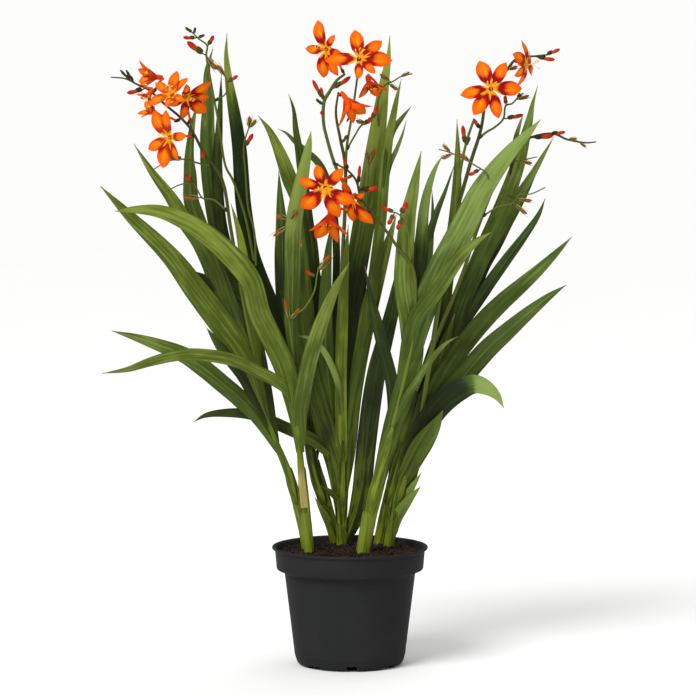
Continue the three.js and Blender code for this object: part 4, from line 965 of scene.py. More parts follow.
            Leaf(16, 74, 10, (0.20, 0.40, 0.9), [(74, 318), (105, 370), (118, 393), (135, 418), (152, 443),
                 (170, 470), (190, 498), (210, 525), (228, 552), (236, 572)]),
            Leaf(16, 92, 10, (0.24, 0.60, 0.2), [(78, 330), (95, 372), (108, 405), (114, 440), (118, 475),
                 (122, 510), (127, 550), (129, 580), (130, 610), (130, 640), (129, 667)]),
            Leaf(11, 104, 8, (0.16, 0.44, 0.7), [(68, 296), (73, 350), (78, 400), (82, 450), (89, 490),
                 (97, 530), (105, 555), (115, 580), (127, 615)]),
            Leaf(6, 112, 0, (0.20, 0.56, 0.5), [(81, 440), (92, 470), (97, 500), (99, 530), (100, 560),
                 (99, 583)]),
        ],
        stems=[
            Stem(52, 44, [5, 4.4, 3.4, 3, 1.6], [(80, 338), (112, 420), (136, 480), (156, 540), (176, 590),
                 (194, 618), (208, 640), (220, 646), (245, 650), (262, 643), (285, 639), (297, 640)], [
                Bud((217, 646), (246, 648), 6.5), Bud((206, 640), (217, 653), 6),
                Bud((240, 650), (260, 652), 5), Bud((277, 641), (285, 634), 3, spent=True),
                Bud((262, 643), (274, 644), 4, spent=True),
            ]),
            Stem(("stems", 0), 42, [2.4, 1.8, 1.4], [(182, 598), (192, 614), (208, 618), (226, 622)], [
                Bud((206, 618), (220, 614), 4.5, spent=True), Bud((192, 614), (200, 622), 4),
            ]),
            Stem(("stems", 0), 40, [2.4, 2, 1.4], [(160, 548), (180, 562), (197, 566), (204, 576),
                 (218, 577), (236, 585)], [
                Bud((200, 572), (220, 569), 4.5, spent=True), Bud((198, 566), (214, 553), 4.5, spent=True),
                Bud((200, 572), (190, 576), 4),
            ]),
        ],
    ),
}
print("leaves and stems:", [(len(shoot.leaves), len(shoot.stems)) for shoot in SHOOTS.values()])

# %% [markdown]
# The line of a leaf or stem runs from its root to its tip, and its depth changes on the way. A leaf stays
# in its fan at first and leans out of it toward its tip, while a stem leaves the plane evenly.

# %% Centre lines
LEAF_LEAN = 1.3  # the power by which a leaf's depth grows along it
LINE_SAMPLES = 240


def line_points(one, shoot):
    first = shoot.depth if one.root is None else one.root
    start = None
    if isinstance(one.root, tuple):
        kind, index = one.root
        start, _, _ = nearest_on(centre_line(getattr(shoot, kind)[index], shoot), one.path[0])
        first = start[1] / MM
    power = 1.0 if isinstance(one, Stem) else LEAF_LEAN
    end = len(one.path) - 1
    points = [placed(x, z, first + (one.tip_depth - first) * (k / end) ** power)
              for k, (x, z) in enumerate(one.path)]
    if isinstance(one, Stem) and start is not None:
        points[0] = start
    return np.array(points)


def centre_line(one, shoot):
    return smooth_line(line_points(one, shoot), np.linspace(0, 1, LINE_SAMPLES))


def foot_line(shoot):
    return np.array([placed(x, z, shoot.depth) for x, z in shoot.foot])


# %% [markdown]
# A crocosmia leaf is a sword: narrow where it leaves the sheath, widest about the middle, drawn out to a
# point. It is folded a little along its midrib and lightly pleated, so that its two halves catch the
# light differently. The fold and the pleats lift the blade out of its plane; near the tip the blade also
# twists a few degrees, each leaf its own way.

# %% Leaves
BLADE_THICKNESS = 0.6 * MM
BLADE_TIP_WIDTH = 0.7 * MM
BLADE_FOLD = 0.15  # fall of the rim behind the midrib, as a share of the half width
SHEATH_FOLD = 0.35  # how much deeper the fold is at the base, where the blade clasps the next one
SHEATH_END = 0.22  # the share of the blade's length where that has gone
BLADE_PLEAT = 0.015
TIP_TWIST = 16
TONE_TURN = 0.1  # half the share of its length over which a leaf's tone turns quickly
GRAIN_SHIFT = 3.7  # centimetres between the grain of one leaf and the next, so that no two are alike


def leaf_half_width(share, one):
    opening = 0.3 + 0.7 * smoothstep(share, -0.05, one.opens)
    taper = np.maximum(0, (share - 0.45) / 0.55)
    return np.maximum(one.width * opening * (1 - taper**2), BLADE_TIP_WIDTH / MM) * MM / 2


def blade_lift(u, v):
    flat = np.sqrt(np.clip((1 - v) / 0.25, 0, 1))
    fold = BLADE_FOLD + SHEATH_FOLD * (1 - smoothstep(v, 0.0, SHEATH_END))
    return -(fold * np.abs(u) + BLADE_PLEAT * np.cos(3 * math.pi * np.abs(u))) * (0.4 + 0.6 * flat)


def blade_wall(u, v):
    return BLADE_THICKNESS * (0.45 + 0.55 * (1 - u * u)) * (0.6 + 0.4 * (1 - v))


def leaf(one, shoot, count):
    u, v, side = coordinates(LEAF_BLADE).T
    twist = TIP_TWIST * (1 if count % 2 else -1)

    def turn(share):
        return one.turn + twist * smoothstep(share, 0.3, 1.0) - 0.3 * twist

    half = leaf_half_width(np.round(v, 6), one)
    out = blade_lift(u, v) * half - side * blade_wall(u, v) / 2  # minus, so that the faces look outward
    places, length = swept(line_points(one, shoot), v, u * half, out, turn)
    # A blade's tone runs from its base to its tip; the low values paint shade where the blade lies deep in
    # the fan.
    low, high, cool, *turning = one.tones
    start, end = (turning[0] - TONE_TURN, turning[0] + TONE_TURN) if turning else (0.1, 0.9)
    values = {"tone": low + (high - low) * smoothstep(v, start, end), "cool": cool, "papery": 0.45,
              "reach": v, "rim": np.abs(u)}
    grain = (u * half * CM + GRAIN_SHIFT * count, length * CM)
    return laid(LEAF_BLADE, places, grain, values, LEAF)


# %% [markdown]
# Under the fan the leaf bases wrap each other into a flattened foot. It is an oval rod whose skin is
# creased lengthwise where one sheath ends and the next goes on, and it keeps the corm, the swollen base
# it grows from, in the soil. Two loose outer sheaths hug it and end in rounded points. Each is a leaf
# blade bent round the oval, and so is the dry sheath further down.

# %% Feet
SHEATH_CREASES = 3
CREASE_DEPTH = 0.10
FOOT_HALF_WIDTH = 0.5
FOOT_HALF_DEPTH = 0.34  # both as shares of the foot's width
FOOT_COOL = 0.4
CORM_RADIUS = 9 * MM
CORM_LEVEL = 103 * MM
SHEATH_TIP = 0.02  # a loose sheath's narrowest share, so that its tip doesn't close to a line
SHEATH_GRAIN = 25  # centimetres of grain over the height of a foot


def sheath_half(widths, share):
    def rule(angle, v):
        crease = 1 - CREASE_DEPTH * np.abs(np.sin(SHEATH_CREASES * angle + 2.2 * v)) ** 6
        return evenly(v, widths) * share * MM * crease

    return rule


def foot(shoot):
    wide, deep = (sheath_half(shoot.foot_widths, share) for share in (FOOT_HALF_WIDTH, FOOT_HALF_DEPTH))
    # The foot's tone carries painted shade, darker for the shoots at the back.
    values = {"tone": shoot.foot_tone, "rim": 0.5, "papery": 1.0, "cool": FOOT_COOL}
    return rod(FOOT_ROD, foot_line(shoot), wide, deep, values, LEAF)


def corm(shoot):
    centre = foot_line(shoot)[0]
    centre[2] = CORM_LEVEL
    rise = 0.8 * CORM_RADIUS * UPWARD

    def ball(angle, v):
        return CORM_RADIUS * np.sqrt(np.clip(1 - (2 * v - 1) ** 2, 0.01, 1)) * (1 + 0.03 * np.sin(5 * angle))

    points = np.array([centre - rise, centre, centre + rise])
    return rod(FOOT_ROD, points, ball, ball, {"tone": 0.2, "rim": 1.0}, STALK)


def wrap(shoot, start, end, facing, material, tone, loose=0.45, half_turn=150):
    """A loose sheath round part of the foot, from share start to share end of its height."""
    u, v, side = coordinates(LEAF_BLADE).T
    share = start + (end - start) * v
    narrowing = np.sqrt(np.clip(1 - ((v - 0.35) / 0.65).clip(0, 1) ** 2.2, SHEATH_TIP**2, 1))
    angle = math.radians(facing) + u * math.radians(half_turn) * narrowing
    half = evenly(share, shoot.foot_widths) * MM
    skin = (loose + 0.5 * v**3 + 0.22 * side) * MM
    wide = (half * FOOT_HALF_WIDTH + skin) * np.cos(angle)
    deep = (half * FOOT_HALF_DEPTH + skin) * np.sin(angle)
    places, _ = swept(foot_line(shoot), share, wide, deep)
    values = {"tone": tone, "reach": 0.8 * v, "rim": np.abs(u), "papery": 1.0, "cool": FOOT_COOL}
    return laid(LEAF_BLADE, places, (u * half * BENT_GRAIN, share * SHEATH_GRAIN), values, material)


# %% [markdown]
# Flower stems are thin rods that taper upward. At each place where a bud or a side branch leaves there is
# a pair of bracts: short, pointed, boat-shaped scales that clasp what they carry.

# %% Stems and bracts
BRACT_WALL = 0.13 * MM  # half of it


def stem(one, shoot, tone):
    def half(angle, v):
        return evenly(v, one.thick) / 2 * MM * (1 + 0.05 * np.cos(4 * angle))

    return rod(STEM_ROD, line_points(one, shoot), half, half, {"tone": tone, "rim": 1.0}, STALK)


def bract(root, axis, length, radius, around, material=STALK, tone=0.55, hug=82):
    """A scale on a round axis, centred at the angle `around` and reaching `hug` degrees to both sides."""
    u, v, side = coordinates(BRACT_BLADE).T
    first = unit(np.cross(axis, FORWARD if abs(axis[1]) < 0.8 else UPWARD))
    second = np.cross(axis, first)
    angle = math.radians(around) + u * math.radians(hug) * np.maximum(1 - v**2.2, 0.02)
    belly = radius * (0.55 + 0.56 * np.sin(math.pi * np.clip(v * 0.8 + 0.08, 0, 1))) + BRACT_WALL * side
    out = np.cos(angle)[:, None] * first + np.sin(angle)[:, None] * second
    flare = radius * 0.35 * v**3
    places = root + axis * (v * length)[:, None] + out * (belly + flare)[:, None]
    values = {"tone": tone, "reach": v, "rim": np.abs(u), "papery": 1.0}
    return laid(BRACT_BLADE, places, (u * radius * BENT_GRAIN, v * length * CM), values, material)


def bract_pair(root, axis, length, radius, tone=0.55):
    return [bract(root, axis, length * (1 - 0.22 * k), radius, 90 + 180 * k, tone=tone) for k in range(2)]


# %% [markdown]
# Buds sit on the spray in two rows. The youngest, at the end, are tight and brown-green all over. The
# larger ones have pushed their red-orange tepals out of the bracts, and some have withered to pods in
# open husks. Each is a rod swollen beyond the middle, on a short stalk if it is long, with its bracts over
# the lower part.

# %% Buds
YOUNG_BUD = 4.2  # buds up to this thickness, in mm, are still green all over
LONG_BUD = 2.2  # buds longer than this many thicknesses have a stalk
BUD_STATIONS = [0, 0.12, 0.3, 0.5, 0.68, 0.84, 0.95, 1]
BUD_FATNESS = [0.30, 0.36, 0.62, 0.90, 1.0, 0.86, 0.50, 0.08]
BRACT_COVER = 0.42  # the share of a bud that its bracts cover
HUSK_COUNT = 5


def bud(one, line, tone):
    """Gives whether the bud is all green, its body and its scales."""
    root, _, _ = nearest_on(line, one.foot)
    end = placed(*one.tip, root[1] / MM - 3)
    axis = unit(end - root)
    length = np.linalg.norm(end - root)
    stalk = 0.3 if length > LONG_BUD * one.fat * MM else 0.1
    young = one.fat <= YOUNG_BUD and not one.spent
    sag = np.array([0, 0, -0.03 * length])
    points = np.array([root, root + axis * length * stalk + sag, root + axis * length * 0.65 + sag, end])
    body_start = stalk * 0.8

    def fatness(angle, v):
        share = np.clip((v - body_start) / (1 - body_start), 0, 1)
        body = np.interp(share, BUD_STATIONS, BUD_FATNESS) * one.fat / 2
        furrow = 1 - 0.07 * np.abs(np.sin(1.5 * angle)) ** 4
        return np.where(v < body_start, 0.8, np.maximum(body, 0.35)) * MM * furrow

    values = {"tone": 0.5 + tone, "rim": 1.0, "spent": 0.7 if one.spent else 0.0}
    body = rod(BUD_ROD, points, fatness, fatness, values, STALK if young else BUD)
    hold = root + axis * length * stalk * 0.7
    radius = one.fat * MM * 0.46
    scales = bract_pair(hold, axis, length * BRACT_COVER, radius, 0.4 + tone)
    if one.spent:
        scales += [bract(hold, axis, length * (0.95 - 0.09 * k), radius * 1.2, 20 + 75 * k, DRY, hug=17)
                   for k in range(HUSK_COUNT)]
    return young, body, scales


# %% [markdown]
# Each bloom is a slender, slightly curved trumpet that flares into six pointed tepals, three outer ones
# and three inner ones that are a touch shorter. It leaves its stem square to it, turns up into its own
# line and opens at the mouth. The throat is hollow: the rod's last rows turn back inside it. A bloom is
# given by its stem, its seat and mouth, the mouth's depth and direction, a tepal's length, how far it
# opens and how dark its band is. Then each tepal has its angle and length, or the first one's angle does.

# %% Blooms
Bloom = namedtuple("Bloom", "shoot stem seat mouth depth facing petal opening band spin tepals",
                   defaults=(0, None))

BLOOMS = {
    "left_a": Bloom("left", 0, (-238, 699), (-234, 718), 9, (-0.93, -0.35, 0.08),
                    26, 18, 1.0, tepals=[(100, 28), (150, 24), (200, 24), (258, 25), (320, 22), (30, 22)]),
    "left_b": Bloom("left", 0, (-222, 684), (-215, 697), -45, (-0.35, -0.75, 0.55),
                    26, 60, 0.45, tepals=[(88, 28), (52, 25), (335, 18), (275, 20), (208, 27), (150, 26)]),
    "left_c": Bloom("left", 0, (-196, 661), (-198, 694), -20, (0.35, -0.75, -0.55),
                    30, 62, 1.0, tepals=[(327, 33), (2, 27), (38, 32), (105, 22), (215, 20), (274, 28)]),
    "left_d": Bloom("left", 0, (-248, 706), (-243, 696), -24, (-0.5, -0.4, -0.76),
                    13, 40, 0.75, spin=10),
    "left_e": Bloom("left", 0, (-204, 669), (-237, 676), -6, (-0.75, -0.45, 0.5),
                    18, 24, 0.75, spin=35),
    "left_f": Bloom("left", 0, (-187, 648), (-218, 645), -34, (-0.5, -0.82, -0.15),
                    34, 68, 0.7, tepals=[(8, 22), (88, 32), (128, 37), (206, 31), (250, 37), (286, 26)]),
    "top_a": Bloom("centre", 1, (-7, 722), (-29, 751), 10, (-0.55, -0.8, -0.15),
                   34, 72, 1.0, tepals=[(345, 22), (52, 20), (112, 35), (178, 26), (252, 35), (290, 32)]),
    "top_b": Bloom("centre", 2, (9, 719), (11, 740), -22, (0.04, -0.94, 0.3),
                   36, 74, 0.9, tepals=[(0, 38), (40, 34), (97, 34), (182, 38), (268, 21), (316, 24)]),
    "top_c": Bloom("centre", 4, (40, 705), (23, 712), 10, (0.25, -0.35, -0.9),
                   24, 30, 0.75, spin=25),
    "top_d": Bloom("centre", 0, (-15, 698), (-5, 692), -12, (0.5, -0.35, -0.79),
                   33, 16, 0.4, spin=0),
    "middle_a": Bloom("right_front", 0, (2, 600), (-30, 584), -87, (-0.2, -0.93, -0.3),
                      34, 76, 1.0, tepals=[(331, 36), (47, 31), (112, 27), (160, 31), (221, 41), (288, 40)]),
    "middle_b": Bloom("right_front", 0, (13, 572), (2, 571), -66, (-0.4, -0.72, -0.56),
                      28, 66, 0.9, tepals=[(95, 24), (155, 18), (208, 18), (258, 30), (300, 37), (22, 18)]),
    "middle_c": Bloom("right_front", 0, (26, 556), (-24, 552), -42, (-0.15, -0.42, -0.9),
                      35, 20, 0.9, spin=-12),
    "right_a": Bloom("right", 0, (166, 693), (170, 704), -24, (0, -0.99, 0.14),
                     35, 78, 1.0, tepals=[(2, 36), (60, 34), (112, 36), (191, 35), (236, 35), (285, 34)]),
    "right_b": Bloom("right", 0, (199, 739), (213, 733), -13, (0.9, -0.42, -0.05),
                     28, 84, 0.8, spin=30),
}

TEPAL_ROOT = 2.8 * MM
TEPAL_WALL = 0.5 * MM
TEPAL_BREADTH = 0.262  # half the widest place, as a share of the length
INNER_BREADTH = 0.84
INNER_LENGTH = 0.96
TUBE_GAP = 0.15 * MM  # between a stem's skin and the tube that sits on it
TUBE_NECK = 3 * MM
TUBE_MOUTH = 9 * MM
TUBE_WALL = 0.5 * MM
TUBE_FOLD = 0.72  # the share of the rod's rows that make the outside of the tube
TUBE_STATIONS = [0, 0.16, 0.3, 0.55, 0.8, 1]
TUBE_RADII = [1.0, 1.75, 1.35, 1.6, 2.5, 4.1]
TUBE_GRAIN = (0.3, 3)  # centimetres of grain over a radian of its round and over its length


def wobble(one, k, kind):
    """No two tepals are quite alike: a steady wave of the bloom's place and the tepal's number, -1 to 1."""
    return math.sin(0.37 * one.mouth[0] + 2.1 * k + 1.3 * kind)


def tepal_setting(one, k):
    """A tepal's angle about the mouth, its length and its lean from the tube's line."""
    if one.tepals:
        angle, length = one.tepals[k]
    else:
        angle = one.spin + 60 * k + 5 * wobble(one, k, 0)
        length = one.petal * (INNER_LENGTH if k % 2 else 1) * (1 + 0.06 * wobble(one, k, 1))
    lean = one.opening + (0 if k % 2 else 6) + 7 * wobble(one, k, 2)
    return math.radians(angle), length * MM, lean


def tepal_half_width(share, length, broad):
    funnel = 0.66 * (TEPAL_ROOT + length * share)
    widest = TEPAL_BREADTH * length * broad
    point = 1 - np.clip((share - 0.50) / 0.50, 0, 1) ** 2.6
    return np.maximum((funnel**-4 + widest**-4) ** -0.25 * point, 0.25 * MM)


def tepal(one, k, throat, axes):
    angle, length, opening = tepal_setting(one, k)
    out, up, right = axes
    radial = right * math.cos(angle) + up * math.sin(angle)
    across = np.cross(out, radial)
    u, v, side = coordinates(TEPAL_BLADE).T
    lean = np.radians(opening + 18 * v)
    reach = length * v
    half = tepal_half_width(v, length, INNER_BREADTH if k % 2 else 1)
    normal = out * np.sin(lean)[:, None] - radial * np.cos(lean)[:, None]
    cup = 0.20 * np.abs(u) ** 2 * (1 - v) + 0.05 * np.abs(u)
    ripple = 0.10 * u * np.sin(5.5 * v + 1.7 * k) * v
    centre = (throat + radial * (TEPAL_ROOT + reach * np.sin(lean))[:, None]
              + out * (reach * np.cos(lean) - 1 * MM)[:, None])
    wall = TEPAL_WALL * (0.4 + 0.6 * (1 - u * u)) / 2
    places = centre + across * (u * half)[:, None] + normal * (half * (cup + ripple) - side * wall)[:, None]
    values = {"tone": one.band, "reach": v, "rim": np.abs(u), "side": (side < 0).astype(float)}
    return laid(TEPAL_BLADE, places, (u * half * CM + k, reach * CM), values, TEPAL)


def bloom_line(one):
    """The tube's own points, the throat and the axes of the mouth."""
    out = unit(np.array(one.facing, float))
    up = unit(UPWARD - out * out[2])
    throat = placed(*one.mouth, one.depth)
    behind = throat - out * TUBE_MOUTH
    shoot = SHOOTS[one.shoot]
    carrier = shoot.stems[one.stem]
    seat, along, share = nearest_on(centre_line(carrier, shoot), one.seat)
    leaving = behind - seat
    leaving = unit(leaving - along * (leaving @ along))
    start = seat + leaving * (evenly(share, carrier.thick) / 2 * MM + TUBE_GAP)
    neck = start + leaving * TUBE_NECK
    middle = neck + (behind - neck) * 0.6 + up * 1.5 * MM
    return np.array([start, neck, middle, behind, throat]), (out, up, np.cross(up, out))


def tube(points):
    """The trumpet. Its line runs to the mouth and back inside."""
    x, y, v = coordinates(BUD_ROD).T
    inner = v > TUBE_FOLD
    share = np.where(inner, 1 - (v - TUBE_FOLD) * 1.1, v / TUBE_FOLD)
    radius = np.interp(share, TUBE_STATIONS, TUBE_RADII) * MM
    radius = np.where(inner, np.maximum(radius - TUBE_WALL, 0.2 * MM), radius)
    places, _ = swept(points, share, x * radius, y * radius)
    values = {"tone": 0.6, "reach": np.where(inner, 0.05, 0.6), "rim": 0.6, "side": inner.astype(float)}
    grain = (np.arctan2(y, x) * TUBE_GRAIN[0], share * TUBE_GRAIN[1])
    return laid(BUD_ROD, places, grain, values, TEPAL)


def bloom(one):
    points, axes = bloom_line(one)
    return [tube(points)] + [tepal(one, k, points[-1], axes) for k in range(6)]


# %% [markdown]
# Three stamens and the style stand up from the throat and lean to the upper side of the mouth. A stamen
# is a thread with a slim anther set across its end, and the style ends in three short arms.

# %% Stamens
STAMEN_SHARE = 0.52  # a stamen's length beyond the mouth, as a share of a tepal
STAMEN_LEANS = (-38, 2, 40)
STAMEN_ROOT = 6 * MM  # how deep in the tube it starts
FILAMENT_RADIUS = 0.38 * MM
STYLE_RADIUS = 0.36 * MM
ARM_RADIUS = 0.3 * MM
ANTHER_LENGTH = 4.6 * MM
ANTHER_HALF = 0.8 * MM


def thread(points, radius, reach, tip_share=0.8):
    def rule(angle, v):
        return radius * np.interp(v, [0, 0.9, 1], [1.0, tip_share, 0.2 * tip_share])

    return rod(HAIR_ROD, np.array(points), rule, rule, {"reach": reach}, STAMEN)


def anther(centre, axis):
    def rule(angle, v):
        lobes = 1 - 0.25 * np.abs(np.sin(angle)) ** 8
        return ANTHER_HALF * np.sqrt(np.clip(1 - (2 * v - 1) ** 2, 0.02, 1)) * lobes

    half = axis * ANTHER_LENGTH / 2
    points = np.array([centre - half, centre, centre + half])
    return rod(HAIR_ROD, points, rule, rule, {"reach": 1.0}, STAMEN)


def stamens(one):
    points, (out, up, right) = bloom_line(one)
    throat = points[-1]
    root = throat - out * STAMEN_ROOT
    length = one.petal * STAMEN_SHARE * MM
    copies = []
    for lean in STAMEN_LEANS:
        sideways = right * math.sin(math.radians(lean)) + up * math.cos(math.radians(lean))
        tip = throat + out * length * 0.86 + sideways * length * 0.42
        bend = throat + out * length * 0.5 + sideways * length * 0.12
        copies.append(thread([root, bend, tip], FILAMENT_RADIUS, 0.25))
        copies.append(anther(tip + out * 0.4 * MM, unit(sideways + 0.5 * right - 0.3 * out)))
    end = throat + out * length * 1.05 - up * length * 0.22
    bend = throat + out * length * 0.55 - up * length * 0.02
    copies.append(thread([root, bend, end], STYLE_RADIUS, 0.1))
    for k in range(3):
        angle = 2 * math.pi * k / 3
        arm = end + out * 2.0 * MM + (right * math.cos(angle) + up * math.sin(angle)) * 1.8 * MM
        copies.append(thread([end - out * 0.4 * MM, (end + arm) / 2, arm], ARM_RADIUS, 0.2, 1.0))
    return copies


# %% [markdown]
# The pot is a turned shape, so its outline is drawn once and spun round the axis: up the outside over the
# stepped rim band and the rolled lip, then down the inside and across the base plate. The notches in the
# foot ring are cut with blocks, deep and shallow ones in turn, and so are the drain holes.

# %% Pot
POT_STEPS = 144
FOOT_RING = (46, 57)
BASE_LEVEL = 8
CENTRE_FOOT = 12
NOTCH_COUNT = 8
NOTCH_OFFSET = 0.04  # how far the first notch is turned from the front, as a share of their spacing
DEEP_NOTCH = (15, 7.5)  # width and depth
SHALLOW_NOTCH = (26, 4)
DRAIN_HOLE = 5
DRAIN_RING = 32
DRAIN_DEPTH = 40
OUTLINE = [
    (FOOT_RING[0], 0), (FOOT_RING[1], 0), (60.6, 0.6), (62.8, 1.7), (64.4, 3.4), (65.5, 5.6), (66.4, 8.6),
    (67.1, 11.6), (67.5, 13.2), (67.75, 13.5), (67.85, 14.1), (67.75, 14.8), (79.2, 108.5), (79.5, 111.0),
    (80.3, 113.6), (82.0, 115.0), (86.6, 116.4), (88.6, 117.2), (89.5, 118.8), (91.2, 138.8), (91.6, 140.2),
    (92.6, 140.9), (94.1, 141.7), (94.9, 142.8), (94.9, 144.0), (94.2, 144.8), (93.2, 145), (92.0, 144.6),
    (90.6, 143.2), (89.9, 142.2), (88.0, 119.6), (87.0, 118.3), (80.4, 116.3), (78.7, 114.6), (65.8, 14.0),
    (64.0, 11.0), (62.0, 9.6), (0, 9.6),
]
UNDERSIDE = [(0, 0), (CENTRE_FOOT - 0.8, 0), (CENTRE_FOOT, 0.8), (CENTRE_FOOT + 1, BASE_LEVEL),
             (FOOT_RING[0] - 0.6, BASE_LEVEL), (FOOT_RING[0], BASE_LEVEL - 0.6)]


def spun(outline, steps):
    """Spins an outline of (radius, level) in millimetres round the upright axis."""
    piece = added(bpy.ops.mesh.primitive_plane_add, size=1)
    bpy.ops.object.mode_set(mode="EDIT")
    bpy.ops.mesh.delete(type="VERT")
    bpy.ops.object.mode_set(mode="OBJECT")
    mesh = piece.data
    mesh.vertices.add(len(outline))
    mesh.vertices.foreach_set("co", [c for r, z in outline for c in (r * MM, 0, z * MM)])
    mesh.edges.add(len(outline) - 1)
    mesh.edges.foreach_set("vertices", [k + s for k in range(len(outline) - 1) for s in (0, 1)])
    bpy.ops.object.mode_set(mode="EDIT")
    bpy.ops.mesh.select_all(action="SELECT")
    bpy.ops.mesh.spin(steps=steps, angle=2 * math.pi, center=(0, 0, 0), axis=(0, 0, 1))
    bpy.ops.mesh.select_all(action="SELECT")
    bpy.ops.mesh.remove_doubles(threshold=0.01 * MM)
    bpy.ops.mesh.normals_make_consistent(inside=False)
    bpy.ops.object.mode_set(mode="OBJECT")
    return piece


def notch_block(width, depth):
    """A block with sloping sides, wider along the way out from the pot's axis."""
    block = added(bpy.ops.mesh.primitive_cone_add, vertices=4, radius1=width * 0.82 * MM,
                  radius2=width * 0.5 * MM, depth=2 * depth * MM, rotation=(0, 0, math.pi / 4))
    bpy.ops.object.transform_apply(rotation=True)
    block.scale = (1.6, 1, 1)
    bpy.ops.object.transform_apply(scale=True)
    return block


def cut_away(piece, tool, distance, around):
    """Sets a tool under the piece, at a distance from the axis and an angle round it, and takes it away."""
    only(tool)
    tool.location = (distance * MM * math.cos(around), distance * MM * math.sin(around), 0)
    tool.rotation_euler = (0, 0, around)
    bpy.ops.object.transform_apply(location=True, rotation=True)
    boolean = piece.modifiers.new("Cut", "BOOLEAN")
    boolean.operation = "DIFFERENCE"
    boolean.solver = "EXACT"
    boolean.object = tool
    only(piece)
    bpy.ops.object.modifier_apply(modifier=boolean.name)
    bpy.data.objects.remove(tool)


pot = spun(OUTLINE + UNDERSIDE + OUTLINE[:1], POT_STEPS)
for k in range(NOTCH_COUNT):
    around = (k + NOTCH_OFFSET) / NOTCH_COUNT * 2 * math.pi - math.pi / 2
    cut_away(pot, notch_block(*(SHALLOW_NOTCH if k % 2 else DEEP_NOTCH)), FOOT_RING[1], around)
    if k % 2:
        plug = added(bpy.ops.mesh.primitive_cylinder_add, vertices=32, radius=DRAIN_HOLE * MM,
                     depth=DRAIN_DEPTH * MM)
        cut_away(pot, plug, DRAIN_RING, around)
pot.data.materials.append(POT)
finished("nursery_pot", [pot], "pot", smooth_angle=32)

# %% [markdown]
# The peat fills the pot to just under the lip and domes a little toward the plants. Its plug is spun like
# the pot, then the top is displaced into lumps by a cloud pattern.

# %% Soil
SOIL_EDGE_LEVEL = 137
SOIL_CROWN = 4
SOIL_RADIUS = 87.4
SOIL_RINGS = 34
SOIL_WALL = [(0, 10.0), (61.0, 10.0), (64.0, 15.0), (75.6, 110.0), (77.4, 116.6), (85.8, 120.8)]
LUMP_RADIUS = 86  # the lumps stop here, and below the level under it, so the edge stays in the pot
LUMP_LEVEL = 136
LUMP_SIZE = 9 * MM
LUMP_HEIGHT = 5 * MM


def soil_level(r):
    return SOIL_EDGE_LEVEL + SOIL_CROWN * (1 - (r / 88) ** 2)


radii = [SOIL_RADIUS * (1 - k / SOIL_RINGS) for k in range(SOIL_RINGS + 1)]
soil = spun(SOIL_WALL + [(r, soil_level(r)) for r in radii], 96)
lumps = bpy.data.textures.new("lumps", "CLOUDS")
lumps.noise_scale = LUMP_SIZE
lumps.noise_depth = 4
inner = [v.index for v in soil.data.vertices
         if v.co.z > LUMP_LEVEL * MM and v.co.xy.length < LUMP_RADIUS * MM]
soil.vertex_groups.new(name="top").add(inner, 1, "REPLACE")
heave = soil.modifiers.new("Lumps", "DISPLACE")
heave.texture = lumps
heave.vertex_group = "top"
heave.texture_coords = "LOCAL"
heave.direction = "Z"
heave.strength = LUMP_HEIGHT
only(soil)
bpy.ops.object.modifier_apply(modifier=heave.name)
soil.data.materials.append(SOIL)
finished("peat", [soil], "soil", smooth_angle=60)

# %% [markdown]
# Loose crumbs of several sizes lie on the peat. They are copies of one rough clod, which is a coarse ball
# displaced by clouds. A seeded rule scatters, tilts and squashes them, so they lie the same on each run. A
# particle system would do it too, but it leaves no meshes of its own.

# %% Crumbs
CRUMB_COUNT = 1500
CRUMB_REACH = 85
CRUMB_SEED = 7


def clod_master():
    master = added(bpy.ops.mesh.primitive_ico_sphere_add, subdivisions=1, radius=1)
    rough = master.modifiers.new("Rough", "DISPLACE")
    rough.texture = bpy.data.textures.new("rough", "CLOUDS")
    rough.texture.noise_scale = 0.7
    rough.strength = 0.8
    bpy.ops.object.modifier_apply(modifier=rough.name)
    master.data.materials.append(SOIL)
    return master


def scattered_crumbs():
    rng = np.random.default_rng(CRUMB_SEED)
    master = clod_master()
    clod = coordinates(master)
    copies = []
    for _ in range(CRUMB_COUNT):
        r = CRUMB_REACH * math.sqrt(rng.random())
        around = 2 * math.pi * rng.random()
        size = (0.6 + 2.2 * rng.random() ** 3) * MM
        tilt = Vector(rng.normal(size=3)).to_track_quat("Z", "Y").to_matrix()
        squash = np.array([1, 0.7 + 0.5 * rng.random(), 0.6 + 0.4 * rng.random()])
        place = np.array([r * math.cos(around), r * math.sin(around), soil_level(r) + 0.6]) * MM
        mesh = master.data.copy()
        mesh.vertices.foreach_set("co", ((clod * squash) @ np.array(tilt).T * size + place).ravel())
        copy = bpy.data.objects.new("crumb", mesh)
        bpy.context.scene.collection.objects.link(copy)
        copies.append(copy)
    bpy.data.objects.remove(master)
    return copies


finished("peat_crumbs", scattered_crumbs(), smooth_angle=60)

# %% [markdown]
# Now the plant itself is put together, shoot by shoot. The fan of a shoot is one piece, its stems with
# bracts and young green buds a second one, and the coloured buds a third. The fan stands for the CAD node.
# Where a stem forks, and where a bloom sits on it, a pair of bracts clasps the branch.

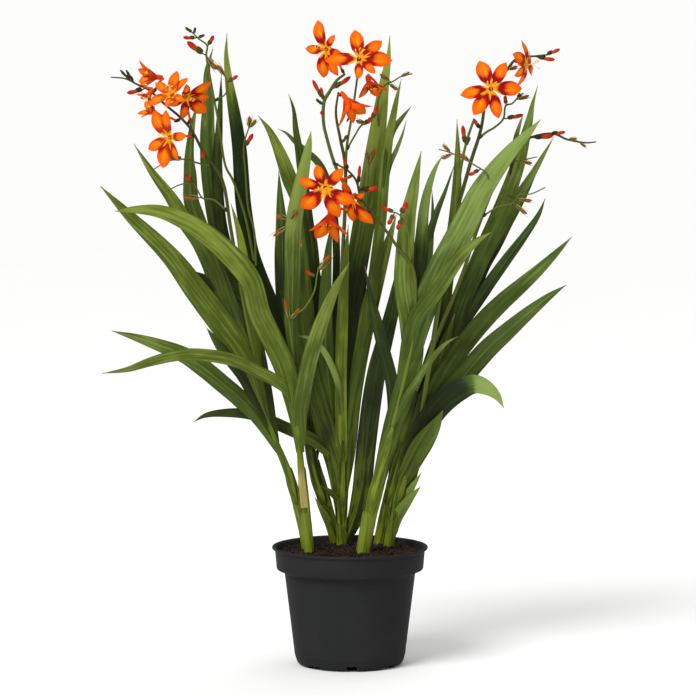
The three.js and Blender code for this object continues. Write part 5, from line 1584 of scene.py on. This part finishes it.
# %% Assemble the shoots
SPRAY_TONE = 0.05  # how much browner the main flower stems are, and how much greener the side branches
BRANCH_TONE = -0.35
SHEATHS = [
    # start and end as shares of the foot's height, the way it faces, and how much lighter it is
    (0.12, 0.62, 240, -0.12),
    (0.12, 0.40, 60, 0.1),
]


def stalk_pieces(shoot):
    """The green copies and the coloured buds of a shoot."""
    green = [corm(shoot)]
    coloured = []
    for one in shoot.stems:
        rooted = isinstance(one.root, tuple)
        tone = BRANCH_TONE if rooted else SPRAY_TONE
        green.append(stem(one, shoot, tone))
        line = centre_line(one, shoot)
        if rooted and one.root[0] == "stems":
            green += bract_pair(line[0], unit(line[20] - line[0]), 9 * MM, 1.8 * MM, 0.4)
        for each in one.buds:
            young, body, scales = bud(each, line, tone)
            green += scales
            (green if young else coloured).append(body)
    return green, coloured


for name, shoot in SHOOTS.items():
    fan = [foot(shoot)] + [leaf(one, shoot, k) for k, one in enumerate(shoot.leaves)]
    # The sheaths take the foot's tone, with its painted shade, shifted lighter or darker by SHEATHS.
    fan += [wrap(shoot, start, end, facing, LEAF, shoot.foot_tone + lighter)
            for start, end, facing, lighter in SHEATHS]
    finished(f"{name}_fan", fan, f"shoot_{name}")
    green, coloured = stalk_pieces(shoot)
    for one in BLOOMS.values():
        if one.shoot == name:
            points, _ = bloom_line(one)
            axis = unit(smooth_line(points, [0.3])[0] - points[0])
            green += bract_pair(points[0], axis, 8.5 * MM, 1.9 * MM)
    finished(f"{name}_stalks", green)
    if coloured:
        finished(f"{name}_buds", coloured)

# %% [markdown]
# On the front left shoot the outermost sheath has died back. It is straw-coloured and papery, and clasps
# the front of the foot above the soil.

# %% The dry sheath
dry = wrap(SHOOTS["left_front"], 0.42, 0.70, 80, DRY, 0.5, loose=0.8, half_turn=50)
finished("dry_sheath", [dry])

# %% [markdown]
# Last come the open flowers. The tube with its tepals stands for the CAD's bloom, and the stamens are a
# piece of their own, because they are of another stuff. The straight masters are then removed.

# %% Assemble the blooms
for name, one in BLOOMS.items():
    finished(f"flower_{name}", bloom(one), f"bloom_{name}")
    finished(f"stamens_{name}", stamens(one))

for master in MASTERS:
    bpy.data.objects.remove(master)
